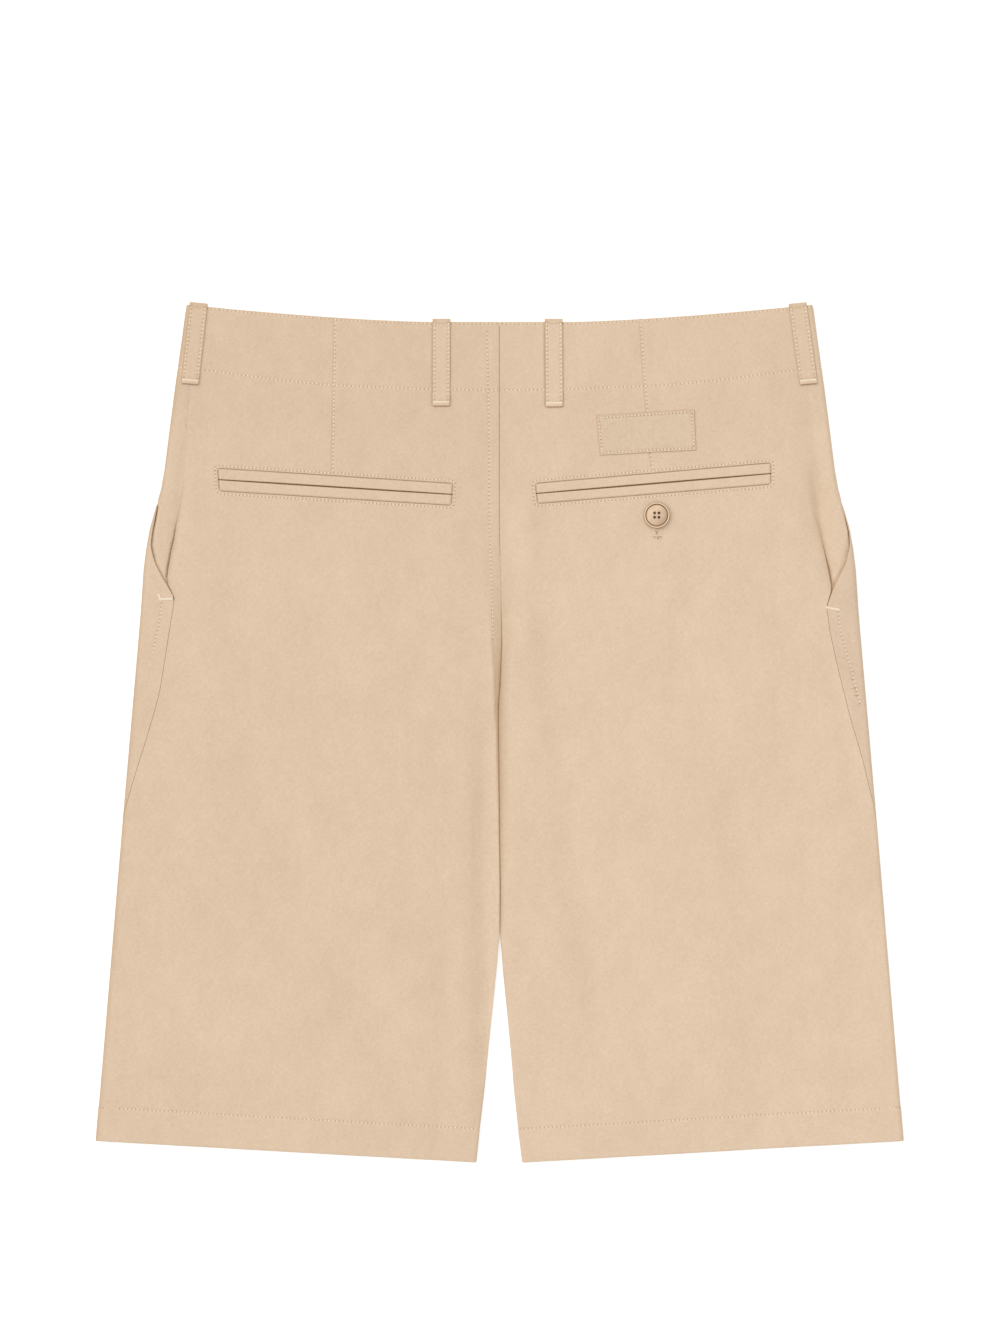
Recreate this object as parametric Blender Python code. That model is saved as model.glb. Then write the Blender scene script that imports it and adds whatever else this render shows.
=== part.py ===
"""Bermuda shorts laid flat on a table, back side up.

X runs across the garment and Y up towards the waist. Z points up from the table, and the origin is
the middle of the garment on the table. The garment is worked out in millimetres and written in metres.

Three coordinates describe the cloth:
  drop   distance along the garment from the top edge, the same all along one row of a panel
  level  distance below the middle of the top edge, straight down the table
  wrap   distance along the cloth from the side fold: over the top if positive, under it if negative
"""

import math
from collections import namedtuple

import bmesh
import bpy
from mathutils import Vector

MM = 0.001

# Whole garment
LENGTH = 545.4  # top edge to the inner corner of the hem
TOP_EDGE_Y = 266.45  # middle of the top edge, from the middle of the garment
TOP_RISE = 10.4  # the top edge is hollow: its ends stand this much higher
TOP_RISE_FROM = 40.0
TOP_RISE_TO = 203.0
TOP_RISE_POWER = 1.35
HEM_RISE = 14.0  # the hem slants up to its outer corner
HEM_RISE_FROM = 15.0
HEM_RISE_TO = 262.0

# Cloth
WALL = 1.2
BAND_WALL = 1.6  # the band is faced inside
HEM_WALL = 1.8  # the hem is turned up twice
FACING_WALL = 1.0
CLOTH_SHARP_ANGLE = math.radians(40.0)
TRIM_WALL = 1.2
SEAM_GAP = 0.5
LAYER_GAP = 0.3
BAND_DEPTH = 43.0
HEM_DEPTH = 22.0

# How high the back lies over the table
BAND_HEIGHT = 7.2
HIP_HEIGHT = 6.1
LEG_HEIGHT = 5.1
BAND_SLOPE_END = 78.0
HIP_END = 195.0
LEG_START = 275.0
FRONT_LIFT = 1.5  # the front band lies on its belt loops
FRONT_LIFT_START = 57.0
FRONT_LIFT_END = 85.0

# Edges that roll down between the halves
SEAM_ROLL = 0.3  # share of a quarter turn along the centre seams
ROLL_START = 165.0
CROTCH = 245.0
ROLL_ANGLE = math.radians(86.0)

# Fly, on the underside
FLY_LAP = 8.6
FLY_LENGTH = 140.0
FLY_RETURN = 12.0
LAP_SOFT_END = 175.0
LAP_REACH = 9.2
LAP_FADE = 6.3

Outline = namedtuple("Outline", "level half_width")
OUTLINE = (
    Outline(-12.0, 203.0),
    Outline(18.0, 207.0),
    Outline(44.0, 210.7),
    Outline(70.0, 214.2),
    Outline(96.0, 217.5),
    Outline(109.0, 219.8),
    Outline(122.0, 223.6),
    Outline(135.0, 227.2),
    Outline(148.0, 229.5),
    Outline(161.0, 231.1),
    Outline(187.0, 232.8),
    Outline(213.0, 235.0),
    Outline(265.0, 239.6),
    Outline(317.0, 244.1),
    Outline(395.0, 250.6),
    Outline(473.0, 257.1),
    Outline(531.0, 262.0),
)

# The line where the halves meet, then the legs part: its place across, and half the space between them
Middle = namedtuple("Middle", "level x half_gap")
MIDDLE = (
    Middle(0.0, -0.3, 0.2),
    Middle(194.0, 0.1, 0.2),
    Middle(216.0, -0.3, 0.2),
    Middle(251.0, -1.6, 0.2),
    Middle(287.0, -0.8, 0.2),
    Middle(320.0, -0.3, 0.2),
    Middle(400.0, 0.3, 0.2),
    Middle(408.0, 0.0, 1.0),
    Middle(421.0, -0.3, 2.3),
    Middle(447.0, -0.3, 4.9),
    Middle(473.0, -0.3, 7.5),
    Middle(499.0, -0.6, 9.8),
    Middle(525.0, -0.8, 12.7),
    Middle(546.0, -0.5, 15.1),
)

# Where the front's edge and the side seam lie, as wrap. The front's edge is the slanted pocket mouth down
# to the seam, and below it both are the same line.
Side = namedtuple("Side", "level front seam")
SIDE_LEFT = (
    Side(-12.0, -35.0, 10.9),
    Side(41.0, -24.0, 11.2),
    Side(90.0, -12.0, 13.3),
    Side(112.0, -4.0, 15.4),
    Side(121.0, 0.0, 16.4),
    Side(130.0, 3.0, 17.1),
    Side(139.8, 4.6, 17.7),
    Side(145.6, 5.4, 17.8),
    Side(156.0, 9.6, 17.8),
    Side(168.4, 16.6, 17.3),
    Side(178.8, 23.2, 23.2),
    Side(191.0, 22.3, 22.3),
    Side(214.0, 20.5, 20.5),
    Side(238.0, 18.6, 18.6),
    Side(252.0, 16.2, 16.2),
    Side(274.0, 11.6, 11.6),
    Side(293.0, 7.4, 7.4),
    Side(308.0, 4.2, 4.2),
    Side(318.0, 2.0, 2.0),
    Side(345.0, 0.0, 0.0),
    Side(546.0, 0.0, 0.0),
)
SIDE_RIGHT = (
    Side(-12.0, -35.0, 11.6),
    Side(41.0, -24.0, 11.3),
    Side(77.0, -15.0, 16.2),
    Side(108.0, -4.0, 20.5),
    Side(116.0, 0.0, 21.2),
    Side(125.0, 2.6, 22.0),
    Side(136.0, 4.0, 21.8),
    Side(144.6, 5.2, 21.5),
    Side(157.0, 8.5, 20.6),
    Side(173.0, 17.3, 18.9),
    Side(184.3, 22.6, 22.6),
    Side(203.0, 21.4, 21.4),
    Side(228.0, 17.7, 17.7),
    Side(256.0, 13.0, 13.0),
    Side(286.0, 6.9, 6.9),
    Side(303.0, 4.4, 4.4),
    Side(318.0, 2.0, 2.0),
    Side(345.0, 0.0, 0.0),
    Side(546.0, 0.0, 0.0),
)

# Soft folds of the back: straight ridges (height over 0) and troughs (height under 0). Each fades out over
# a share of its length at either end.
FOLD_FADE = 0.3
Fold = namedtuple("Fold", "x_start level_start x_end level_end half_width height")
FOLDS = (
    Fold(-162.0, 311.0, -88.0, 438.0, 17.0, -0.9),
    Fold(-22.0, 343.0, -31.0, 519.0, 10.0, -0.8),
    Fold(-52.0, 340.0, -58.0, 519.0, 15.0, 0.7),
    Fold(-6.0, 160.0, -6.0, 420.0, 7.0, 0.6),
    Fold(20.0, 165.0, 66.0, 428.0, 15.0, -0.8),
    Fold(153.0, 298.0, 153.0, 506.0, 19.0, -0.8),
    Fold(108.0, 260.0, 102.0, 500.0, 18.0, 0.5),
    Fold(-120.0, 200.0, -150.0, 330.0, 24.0, 0.3),
    Fold(176.0, 88.0, 203.0, 138.0, 13.0, -0.4),
)

# Rows of every panel, as drop
ROWS = (
    0.0, 14.0, 28.0, 42.5, 43.5, 58.0, 72.0, 86.0, 100.0, 107.5, 114.0, 120.0, 126.0, 132.0, 138.0, 146.0,
    154.0, 162.0, 171.0, 179.0, 186.0, 193.0, 201.0, 215.0, 232.0, 250.0, 270.0, 292.0, 316.0, 330.0, 350.0,
    380.0, 412.0, 450.0, 487.0, LENGTH - HEM_DEPTH - 1.0, LENGTH - HEM_DEPTH, LENGTH,
)  # fmt: skip
FACING_ROWS = 21

# Columns of a panel, as shares of its flat part, and the cloth that its closer columns by the side take
BACK_COLUMNS = (0.0, 0.04, 0.12, 0.23, 0.35, 0.47, 0.59, 0.71, 0.82, 0.92)
BACK_SIDE_STRIP = 4.5
FRONT_COLUMNS = (0.25, 0.5, 0.75)
FRONT_EDGE_STRIP = 1.0
FRONT_TURN_STRIP = 5.0
FRONT_SIDE_STRIP = 4.0
ROLL_STEPS = 3

# Side pocket facing: it ends this far inside the mouth, passes under the front's edge within a soft step,
# and dips along the side seam, deepest by the open mouth
FACING_REACH = 12.0
FACING_COVERED = 3.0
FACING_STEP = 5.0
SEAM_DIP = 0.25
SEAM_DIP_AT_MOUTH = 1.0
SEAM_DIP_WIDTH = 3.0
MOUTH_START = 85.0
MOUTH_OPEN = 125.0

# Corners of the back pockets' windows
Corner = namedtuple("Corner", "x level")
Outlined = namedtuple("Outlined", "name top_left top_right bottom_right bottom_left")
POCKETS = (
    Outlined("left", Corner(-183.0, 95.1), Corner(-30.0, 105.0), Corner(-31.2, 118.5), Corner(-180.1, 109.2)),
    Outlined("right", Corner(22.9, 106.3), Corner(176.0, 92.8), Corner(176.0, 105.8), Corner(24.8, 118.4)),
)
WINDOW_BOTTOM = 2.7  # the cutter passes through the back alone
WINDOW_TOP = 14.0
SLIT = 0.5
WELT_PUFF = 0.35
STRIP_COLUMNS = 10
BEARER_MARGIN = 4.0
BEARER_DEPTH = 0.4

# Belt loops: where each crosses the top edge, and where its lower end lies
Loop = namedtuple("Loop", "name x_top x_bottom length face")
LOOPS = (
    Loop("loop_back_left", -38.0, -38.0, 54.6, "back"),
    Loop("loop_back_right", 35.0, 35.4, 55.2, "back"),
    Loop("loop_side_left", -194.6, -200.2, 51.4, "back"),
    Loop("loop_side_right", 193.0, 200.4, 51.4, "back"),
    Loop("loop_front_left", -105.0, -105.0, 54.0, "front"),
    Loop("loop_front_right", 105.0, 105.0, 54.0, "front"),
)
LOOP_WIDTH = 11.5
LOOP_TUCK = 6.0
LOOP_ROWS = 5
LOOP_TURN_STEPS = 6

# Bare patch under the band
PATCH = Outlined("label_patch", Corner(62.6, 61.2), Corner(126.0, 57.3), Corner(127.2, 83.5), Corner(65.0, 86.9))
PATCH_WALL = 1.0
PATCH_STEPS = 4

# Button under the right back pocket
BUTTON = Corner(101.7, 125.8)
BUTTON_SEAT = 0.4
BUTTON_SEGMENTS = 32
BUTTON_HOLE_RADIUS = 0.95
BUTTON_HOLE_SPREAD = 1.75
BUTTON_HOLE_SEGMENTS = 10
BUTTON_HOLE_REACH = 5.0
BUTTON_SHARP_ANGLE = math.radians(50.0)
Turn = namedtuple("Turn", "radius height")
BUTTON_PROFILE = (
    Turn(6.2, 0.0),
    Turn(7.9, 0.5),
    Turn(8.5, 1.3),
    Turn(8.2, 2.2),
    Turn(7.4, 2.6),
    Turn(6.4, 2.4),
    Turn(5.6, 1.9),
    Turn(4.6, 1.7),
)

# Finishes
CLOTH_COLOUR = "DFC6AB"
FACING_COLOUR = "D9BFA3"
BUTTON_COLOUR = "CDB092"
CLOTH_ROUGHNESS = 0.9
BUTTON_ROUGHNESS = 0.45


def linear_colour(hex_colour):
    """sRGB hex to linear RGBA."""
    channels = [int(hex_colour[i : i + 2], 16) / 255 for i in (0, 2, 4)]
    linear = [c / 12.92 if c <= 0.04045 else ((c + 0.055) / 1.055) ** 2.4 for c in channels]
    return (*linear, 1.0)


def finish(obj, hex_colour, roughness):
    """Gives an object a material of its own."""
    material = bpy.data.materials.new(obj.name)
    material.use_nodes = True
    shader = material.node_tree.nodes["Principled BSDF"]
    shader.inputs["Base Color"].default_value = linear_colour(hex_colour)
    shader.inputs["Roughness"].default_value = roughness
    shader.inputs["Metallic"].default_value = 0.0
    obj.data.materials.append(material)


def clamp(value, low=0.0, high=1.0):
    return max(low, min(high, value))


def ease(value, start, end):
    """0 before start and 1 after end, with a smooth step between."""
    t = clamp((value - start) / (end - start))
    return t * t * (3 - 2 * t)


def mix(a, b, t):
    return a + (b - a) * t


def lookup(table, level, column):
    """Value of a column of a table at a level, straight between its rows."""
    for above, below in zip(table, table[1:]):
        if level <= below.level:
            t = clamp((level - above.level) / (below.level - above.level))
            return mix(getattr(above, column), getattr(below, column), t)
    return getattr(table[-1], column)


def top_rise(x):
    return TOP_RISE * clamp((abs(x) - TOP_RISE_FROM) / (TOP_RISE_TO - TOP_RISE_FROM)) ** TOP_RISE_POWER


def hem_rise(x):
    return HEM_RISE * clamp((abs(x) - HEM_RISE_FROM) / (HEM_RISE_TO - HEM_RISE_FROM))


def level_at(x, drop):
    return drop - mix(top_rise(x), hem_rise(x), drop / LENGTH)


def drop_at(x, level):
    return (level + top_rise(x)) / (1 + (top_rise(x) - hem_rise(x)) / LENGTH)


def wall_at(drop):
    """Thickness of a panel: thicker where the band is faced and the hem turned up."""
    if drop <= BAND_DEPTH:
        return BAND_WALL
    if drop >= LENGTH - HEM_DEPTH:
        return HEM_WALL
    return WALL


def fold_height(x, level):
    """Sum of the soft folds. Each is a rounded ridge that fades out past its two ends."""
    total = 0.0
    for fold in FOLDS:
        run = Vector((fold.x_end - fold.x_start, fold.level_end - fold.level_start))
        place = Vector((x - fold.x_start, level - fold.level_start))
        along = clamp(place.dot(run) / run.length_squared)
        away = (place - run * along).length / fold.half_width
        ends = ease(along, 0.0, FOLD_FADE) * ease(1 - along, 0.0, FOLD_FADE)
        total += fold.height * math.exp(-away * away) * ends
    return total


def back_height(x, level):
    """Height of the back's outer face over the table."""
    drop = drop_at(x, level)
    height = mix(BAND_HEIGHT, HIP_HEIGHT, ease(drop, BAND_DEPTH, BAND_SLOPE_END))
    height = mix(height, LEG_HEIGHT, ease(drop, HIP_END, LEG_START))
    return height + fold_height(x, level)


def front_lift(drop):
    """Height of the front's outer face over the table."""
    return FRONT_LIFT * (1 - ease(drop, FRONT_LIFT_START, FRONT_LIFT_END))


def lap_lift(out, drop):
    """How far the right front is pushed up where the left one passes under it."""
    across = ease(LAP_REACH + LAP_FADE - out, 0.0, LAP_FADE)
    along = 1 - ease(drop, FLY_LENGTH + FLY_RETURN, LAP_SOFT_END)
    return (wall_at(drop) + LAYER_GAP) * across * along


def roll_share(drop):
    """0 to 1: how far an inner edge rolls down. Along the centre seams little, along the legs fully."""
    return mix(SEAM_ROLL, 1.0, ease(drop, ROLL_START, CROTCH))


class Half:
    """One half of the garment: side is -1 on the left and 1 on the right. out is the distance from the
    middle of the garment towards that side."""

    def __init__(self, side, table):
        self.side = side
        self.table = table

    def place(self, out, level, z):
        return Vector((self.side * out, TOP_EDGE_Y - level, z))

    def edge(self, drop):
        """Level, place across and half height of the side fold in a row."""
        out = OUTLINE[0].half_width
        for _ in range(3):
            level = level_at(out, drop)
            out = lookup(OUTLINE, level, "half_width")
        top = back_height(self.side * (out - LEG_HEIGHT / 2), level)
        return level, out, (top - front_lift(drop)) / 2

    def seam(self, level):
        """Wrap of the back's side edge."""
        return max(lookup(self.table, level, "seam"), lookup(self.table, level, "front") + SEAM_GAP)

    def inner(self, drop):
        """Place of the back's inner edge in a row."""
        level = level_at(0.0, drop)
        gap = lookup(MIDDLE, level, "half_gap")
        return gap + self.side * lookup(MIDDLE, level, "x")

    def front_inner(self, drop):
        """Place of the front's inner edge in a row. The left front laps over the middle at the fly."""
        inner = self.inner(drop)
        if self.side > 0:
            return inner
        lap = 1 - ease(drop, FLY_LENGTH, FLY_LENGTH + FLY_RETURN)
        return mix(inner, -FLY_LAP, lap)

    def bottom(self, out, drop):
        lift = front_lift(drop)
        if self.side > 0:
            lift += lap_lift(out, drop)
        return lift

    def around(self, drop, wrap, depth):
        """A point at this wrap, this deep under the garment's outer face."""
        level, fold, radius = self.edge(drop)
        quarter = math.pi / 2 * radius
        if abs(wrap) < quarter:
            angle = wrap / radius
            out = fold - radius + (radius - depth) * math.cos(angle)
            z = front_lift(drop) + radius + (radius - depth) * math.sin(angle)
            return self.place(out, level, z)
        out = fold - radius - (abs(wrap) - quarter)
        return self.flat(drop, out, depth, wrap > 0)

    def flat(self, drop, out, depth, over):
        """A point of the back (over) or of the front, away from the turned edges."""
        level = level_at(out, drop)
        if over:
            return self.place(out, level, back_height(self.side * out, level) - depth)
        return self.place(out, level, self.bottom(out, drop) + depth)

    def roll(self, drop, over):
        """A row's rolled inner edge: its place, level, height, radius and last angle."""
        inner = self.inner(drop) if over else self.front_inner(drop)
        level = level_at(inner, drop)
        top = back_height(self.side * (inner + LEG_HEIGHT / 2), level)
        return inner, level, top, (top - front_lift(drop)) / 2, ROLL_ANGLE * roll_share(drop)

    def rolled(self, drop, step, depth, over):
        """A point of the rolled inner edge: step runs from 0 at the flat to ROLL_STEPS at the edge."""
        inner, level, top, radius, last = self.roll(drop, over)
        angle = last * step / ROLL_STEPS
        out = inner + radius * math.sin(last) - (radius - depth) * math.sin(angle)
        fall = radius - (radius - depth) * math.cos(angle)
        if over:
            return self.place(out, level, top - fall)
        return self.place(out, level, self.bottom(inner, drop) + fall)

    def roll_end(self, drop, over):
        """Where the rolled edge meets the flat of a row."""
        inner, _, _, radius, last = self.roll(drop, over)
        return inner + radius * math.sin(last)


LEFT = Half(-1, SIDE_LEFT)
RIGHT = Half(1, SIDE_RIGHT)


def steps(start, end, count):
    """count values from start, not reaching end."""
    return [mix(start, end, i / count) for i in range(count)]


def back_row(half, drop, depth):
    """Points of the back across one row, from the middle to the side seam."""
    level, fold, radius = half.edge(drop)
    quarter = math.pi / 2 * radius
    edge = half.seam(level)
    knee = max(quarter, edge + BACK_SIDE_STRIP)
    start = half.roll_end(drop, True)
    end = fold - radius - (knee - quarter)
    points = [half.rolled(drop, ROLL_STEPS - i, depth, True) for i in range(ROLL_STEPS)]
    points += [half.flat(drop, mix(start, end, share), depth, True) for share in BACK_COLUMNS]
    points += [half.around(drop, wrap, depth) for wrap in (*steps(knee, edge, 3), edge)]
    return points


def front_row(half, drop, depth):
    """Points of the front across one row, from its side edge round the fold to the middle."""
    level, fold, radius = half.edge(drop)
    quarter = math.pi / 2 * radius
    edge = lookup(half.table, level, "front")
    over = min(quarter, edge - FRONT_EDGE_STRIP)
    under = min(-quarter, over - FRONT_TURN_STRIP)
    last = under - FRONT_SIDE_STRIP
    wraps = (*steps(edge, over, 2), *steps(over, under, 4), under, last)
    end = fold - radius - (-last - quarter)
    start = half.roll_end(drop, False)
    lap = half.front_inner(drop) + LAP_REACH
    outs = [mix(end, lap + LAP_FADE, share) for share in FRONT_COLUMNS] + [lap + LAP_FADE, lap, start]
    points = [half.around(drop, wrap, depth) for wrap in wraps]
    points += [half.flat(drop, out, depth, False) for out in outs]
    points += [half.rolled(drop, i + 1, depth, False) for i in range(ROLL_STEPS)]
    return points


def facing_row(half, drop, depth):
    """Points of the side pocket's facing across one row, from the side seam round the fold. It sinks
    under the front's edge with a gap, and a little along the seam."""
    level, _, radius = half.edge(drop)
    quarter = math.pi / 2 * radius
    start = half.seam(level) - SEAM_GAP
    mouth = lookup(half.table, level, "front")
    covered = min(-quarter - FRONT_EDGE_STRIP, mouth + FACING_COVERED)
    end = min(covered, mouth) - FACING_REACH
    wraps = (*steps(start, quarter, 4), *steps(quarter, -quarter, 5), *steps(-quarter, covered, 2), covered, end)
    dip = mix(SEAM_DIP, SEAM_DIP_AT_MOUTH, ease(level, MOUTH_START, MOUTH_OPEN))
    points = []
    for wrap in wraps:
        sunk = (wall_at(drop) + LAYER_GAP) * ease(mouth + FACING_COVERED + FACING_STEP - wrap, 0.0, FACING_STEP)
        dipped = dip * math.exp(-(((start - wrap) / SEAM_DIP_WIDTH) ** 2))
        points.append(half.around(drop, wrap, max(sunk, dipped) + depth))
    return points


def cloth(name, outer, inner, hex_colour=CLOTH_COLOUR):
    """A closed wall of cloth. outer and inner hold its two faces as rows of points, in millimetres."""
    row_count = len(outer) - 1
    column_count = len(outer[0]) - 1
    bm = bmesh.new()
    bmesh.ops.create_grid(bm, x_segments=column_count, y_segments=row_count, size=0.5)
    skin = bmesh.ops.extrude_face_region(bm, geom=bm.faces[:], use_keep_orig=True)
    raised = {item for item in skin["geom"] if isinstance(item, bmesh.types.BMVert)}
    for vert in bm.verts:
        row = round((vert.co.y + 0.5) * row_count)
        column = round((vert.co.x + 0.5) * column_count)
        side = outer if vert in raised else inner
        vert.co = side[row][column] * MM
    bmesh.ops.recalc_face_normals(bm, faces=bm.faces[:])
    if bm.calc_volume(signed=True) < 0:
        bmesh.ops.reverse_faces(bm, faces=bm.faces[:])
    mesh = bpy.data.meshes.new(name)
    bm.to_mesh(mesh)
    bm.free()
    mesh.shade_smooth()
    mesh.set_sharp_from_angle(angle=CLOTH_SHARP_ANGLE)
    obj = bpy.data.objects.new(name, mesh)
    bpy.context.collection.objects.link(obj)
    finish(obj, hex_colour, CLOTH_ROUGHNESS)
    return obj


def panel(name, half, row_of_points, drops, wall, hex_colour=CLOTH_COLOUR):
    outer = [row_of_points(half, drop, 0.0) for drop in drops]
    inner = [row_of_points(half, drop, wall(drop)) for drop in drops]
    return cloth(name, outer, inner, hex_colour)


def patch_grid(shape, across, along, raise_by):
    """Points over a four-cornered piece that lies on the back. across and along are shares of its width
    and depth, and raise_by(s, t) is the height over the back's face."""
    rows = []
    for t in along:
        row = []
        for s in across:
            left = Vector(shape.top_left).lerp(Vector(shape.bottom_left), t)
            right = Vector(shape.top_right).lerp(Vector(shape.bottom_right), t)
            x, level = left.lerp(right, s)
            row.append(Vector((x, TOP_EDGE_Y - level, back_height(x, level) + raise_by(s, t))))
        rows.append(row)
    return rows


def spread(start, end, count):
    return [mix(start, end, i / count) for i in range(count + 1)]


def size_of(shape):
    """Width and depth of a four-cornered piece."""
    width = shape.top_right.x - shape.top_left.x
    depth = shape.bottom_left.level - shape.top_left.level
    return width, depth


def make_window(shape, back):
    """Cuts the pocket's window out of a back panel."""
    bm = bmesh.new()
    bmesh.ops.create_cube(bm, size=1.0)
    corners = {
        (-1, 1): shape.top_left,
        (1, 1): shape.top_right,
        (1, -1): shape.bottom_right,
        (-1, -1): shape.bottom_left,
    }
    for vert in bm.verts:
        corner = corners[(round(2 * vert.co.x), round(2 * vert.co.y))]
        z = WINDOW_TOP if vert.co.z > 0 else WINDOW_BOTTOM
        vert.co = Vector((corner.x, TOP_EDGE_Y - corner.level, z)) * MM
    mesh = bpy.data.meshes.new(f"window_{shape.name}")
    bm.to_mesh(mesh)
    bm.free()
    cutter = bpy.data.objects.new(f"window_{shape.name}", mesh)
    bpy.context.collection.objects.link(cutter)
    cutter.hide_render = True
    cutter.display_type = "WIRE"
    cut = back.modifiers.new("window", "BOOLEAN")
    cut.operation = "DIFFERENCE"
    cut.solver = "EXACT"
    cut.object = cutter


def make_pocket(shape, back):
    """Window, two welts that fill it but for the slit, and the bearer behind them."""
    make_window(shape, back)
    width, depth = size_of(shape)
    across = spread(LAYER_GAP / width, 1 - LAYER_GAP / width, STRIP_COLUMNS)
    edge = LAYER_GAP / depth
    slit = SLIT / 2 / depth
    for name, top, bottom in (("upper", edge, 0.5 - slit), ("lower", 0.5 + slit, 1 - edge)):
        along = spread(top, bottom, 2)
        middle = (top + bottom) / 2

        def puff(s, t, middle=middle):
            return WELT_PUFF if abs(t - middle) < edge else 0.0

        outer = patch_grid(shape, across, along, puff)
        inner = patch_grid(shape, across, along, lambda s, t: -WALL)
        cloth(f"welt_{shape.name}_{name}", outer, inner)
    across = spread(-BEARER_MARGIN / width, 1 + BEARER_MARGIN / width, STRIP_COLUMNS)
    along = spread(-BEARER_MARGIN / depth, 1 + BEARER_MARGIN / depth, 2)
    outer = patch_grid(shape, across, along, lambda s, t: -WALL - BEARER_DEPTH)
    inner = patch_grid(shape, across, along, lambda s, t: -WALL - BEARER_DEPTH - FACING_WALL)
    cloth(f"pocket_bearer_{shape.name}", outer, inner, FACING_COLOUR)


def loop_points(loop, depth):
    """One face of a belt loop, as rows of two points: up the band, over its top edge and down inside."""
    on_back = loop.face == "back"
    reach = BAND_WALL / 2 + LAYER_GAP + TRIM_WALL - depth
    standing = LAYER_GAP + TRIM_WALL - depth
    middle_z = BAND_HEIGHT - BAND_WALL / 2 if on_back else FRONT_LIFT + BAND_WALL / 2
    up = 1.0 if on_back else -1.0

    def row(share, past, z):
        """Two points this share of the way to the top edge, or this far past it."""
        points = []
        for across in (-LOOP_WIDTH / 2, LOOP_WIDTH / 2):
            x = mix(loop.x_bottom, loop.x_top, share) + across
            level = level_at(x, loop.length * (1 - share)) - past
            if z is None:
                height = back_height(x, level) + standing if on_back else FRONT_LIFT - standing
            else:
                height = z
            points.append(Vector((x, TOP_EDGE_Y - level, height)))
        return points

    rows = [row(share, 0.0, None) for share in spread(0.0, 1.0, LOOP_ROWS)]
    for angle in spread(0.0, math.pi, LOOP_TURN_STEPS)[1:]:
        rows.append(row(1.0, reach * math.sin(angle), middle_z + up * reach * math.cos(angle)))
    rows.append(row(1.0, -LOOP_TUCK, middle_z - up * reach))
    return rows


def make_button():
    """Turned button with a raised rim, a dished middle and four holes."""
    bm = bmesh.new()
    profile = [Turn(0.0, BUTTON_PROFILE[0].height), *BUTTON_PROFILE, Turn(0.0, BUTTON_PROFILE[-1].height)]
    verts = [bm.verts.new((turn.radius * MM, 0.0, turn.height * MM)) for turn in profile]
    edges = [bm.edges.new(pair) for pair in zip(verts, verts[1:])]
    bmesh.ops.spin(
        bm, geom=verts + edges, cent=(0, 0, 0), axis=(0, 0, 1), angle=math.tau, steps=BUTTON_SEGMENTS, use_merge=True
    )
    bmesh.ops.remove_doubles(bm, verts=bm.verts[:], dist=1e-6)
    bmesh.ops.recalc_face_normals(bm, faces=bm.faces[:])
    mesh = bpy.data.meshes.new("button")
    bm.to_mesh(mesh)
    bm.free()
    mesh.shade_smooth()
    mesh.set_sharp_from_angle(angle=BUTTON_SHARP_ANGLE)
    button = bpy.data.objects.new("button", mesh)
    bpy.context.collection.objects.link(button)
    z = back_height(BUTTON.x, BUTTON.level) + BUTTON_SEAT
    button.location = Vector((BUTTON.x, TOP_EDGE_Y - BUTTON.level, z)) * MM
    finish(button, BUTTON_COLOUR, BUTTON_ROUGHNESS)

    bm = bmesh.new()
    for x in (-1, 1):
        for y in (-1, 1):
            hole = bmesh.ops.create_cone(
                bm,
                cap_ends=True,
                segments=BUTTON_HOLE_SEGMENTS,
                radius1=BUTTON_HOLE_RADIUS * MM,
                radius2=BUTTON_HOLE_RADIUS * MM,
                depth=2 * BUTTON_HOLE_REACH * MM,
            )
            shift = Vector((x, y, 0)) * BUTTON_HOLE_SPREAD * MM
            bmesh.ops.translate(bm, vec=shift, verts=hole["verts"])
    mesh = bpy.data.meshes.new("button_holes")
    bm.to_mesh(mesh)
    bm.free()
    holes = bpy.data.objects.new("button_holes", mesh)
    bpy.context.collection.objects.link(holes)
    holes.location = button.location
    holes.hide_render = True
    holes.display_type = "WIRE"
    drill = button.modifiers.new("holes", "BOOLEAN")
    drill.operation = "DIFFERENCE"
    drill.solver = "EXACT"
    drill.object = holes


for old in list(bpy.data.objects):
    bpy.data.objects.remove(old, do_unlink=True)

for half, word in ((LEFT, "left"), (RIGHT, "right")):
    back_panel = panel(f"back_{word}", half, back_row, ROWS, wall_at)
    panel(f"front_{word}", half, front_row, ROWS, wall_at)
    panel(
        f"side_pocket_facing_{word}",
        half,
        facing_row,
        ROWS[:FACING_ROWS],
        lambda drop: FACING_WALL,
        FACING_COLOUR,
    )
    for pocket in POCKETS:
        if pocket.name == word:
            make_pocket(pocket, back_panel)

for belt_loop in LOOPS:
    cloth(belt_loop.name, loop_points(belt_loop, 0.0), loop_points(belt_loop, TRIM_WALL))

patch_shares = spread(0.0, 1.0, PATCH_STEPS)
cloth(
    PATCH.name,
    patch_grid(PATCH, patch_shares, patch_shares, lambda s, t: LAYER_GAP + PATCH_WALL),
    patch_grid(PATCH, patch_shares, patch_shares, lambda s, t: LAYER_GAP),
)
make_button()
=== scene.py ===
"""Bermuda shorts laid flat, back side up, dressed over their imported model.

Sizes are in millimetres and turned to metres in each mesh. A spot on the cloth is given as x and level: x
runs across the garment from its middle, and level is the distance below the middle of the top edge, both
with the cloth let down flat past the side folds. out is the distance from the middle towards one side, and
drop the distance from the top edge, the same all along one row of a panel.
"""

import math
from collections import namedtuple

import bmesh
import bpy
import numpy as np
from mathutils import Matrix, Vector


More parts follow.
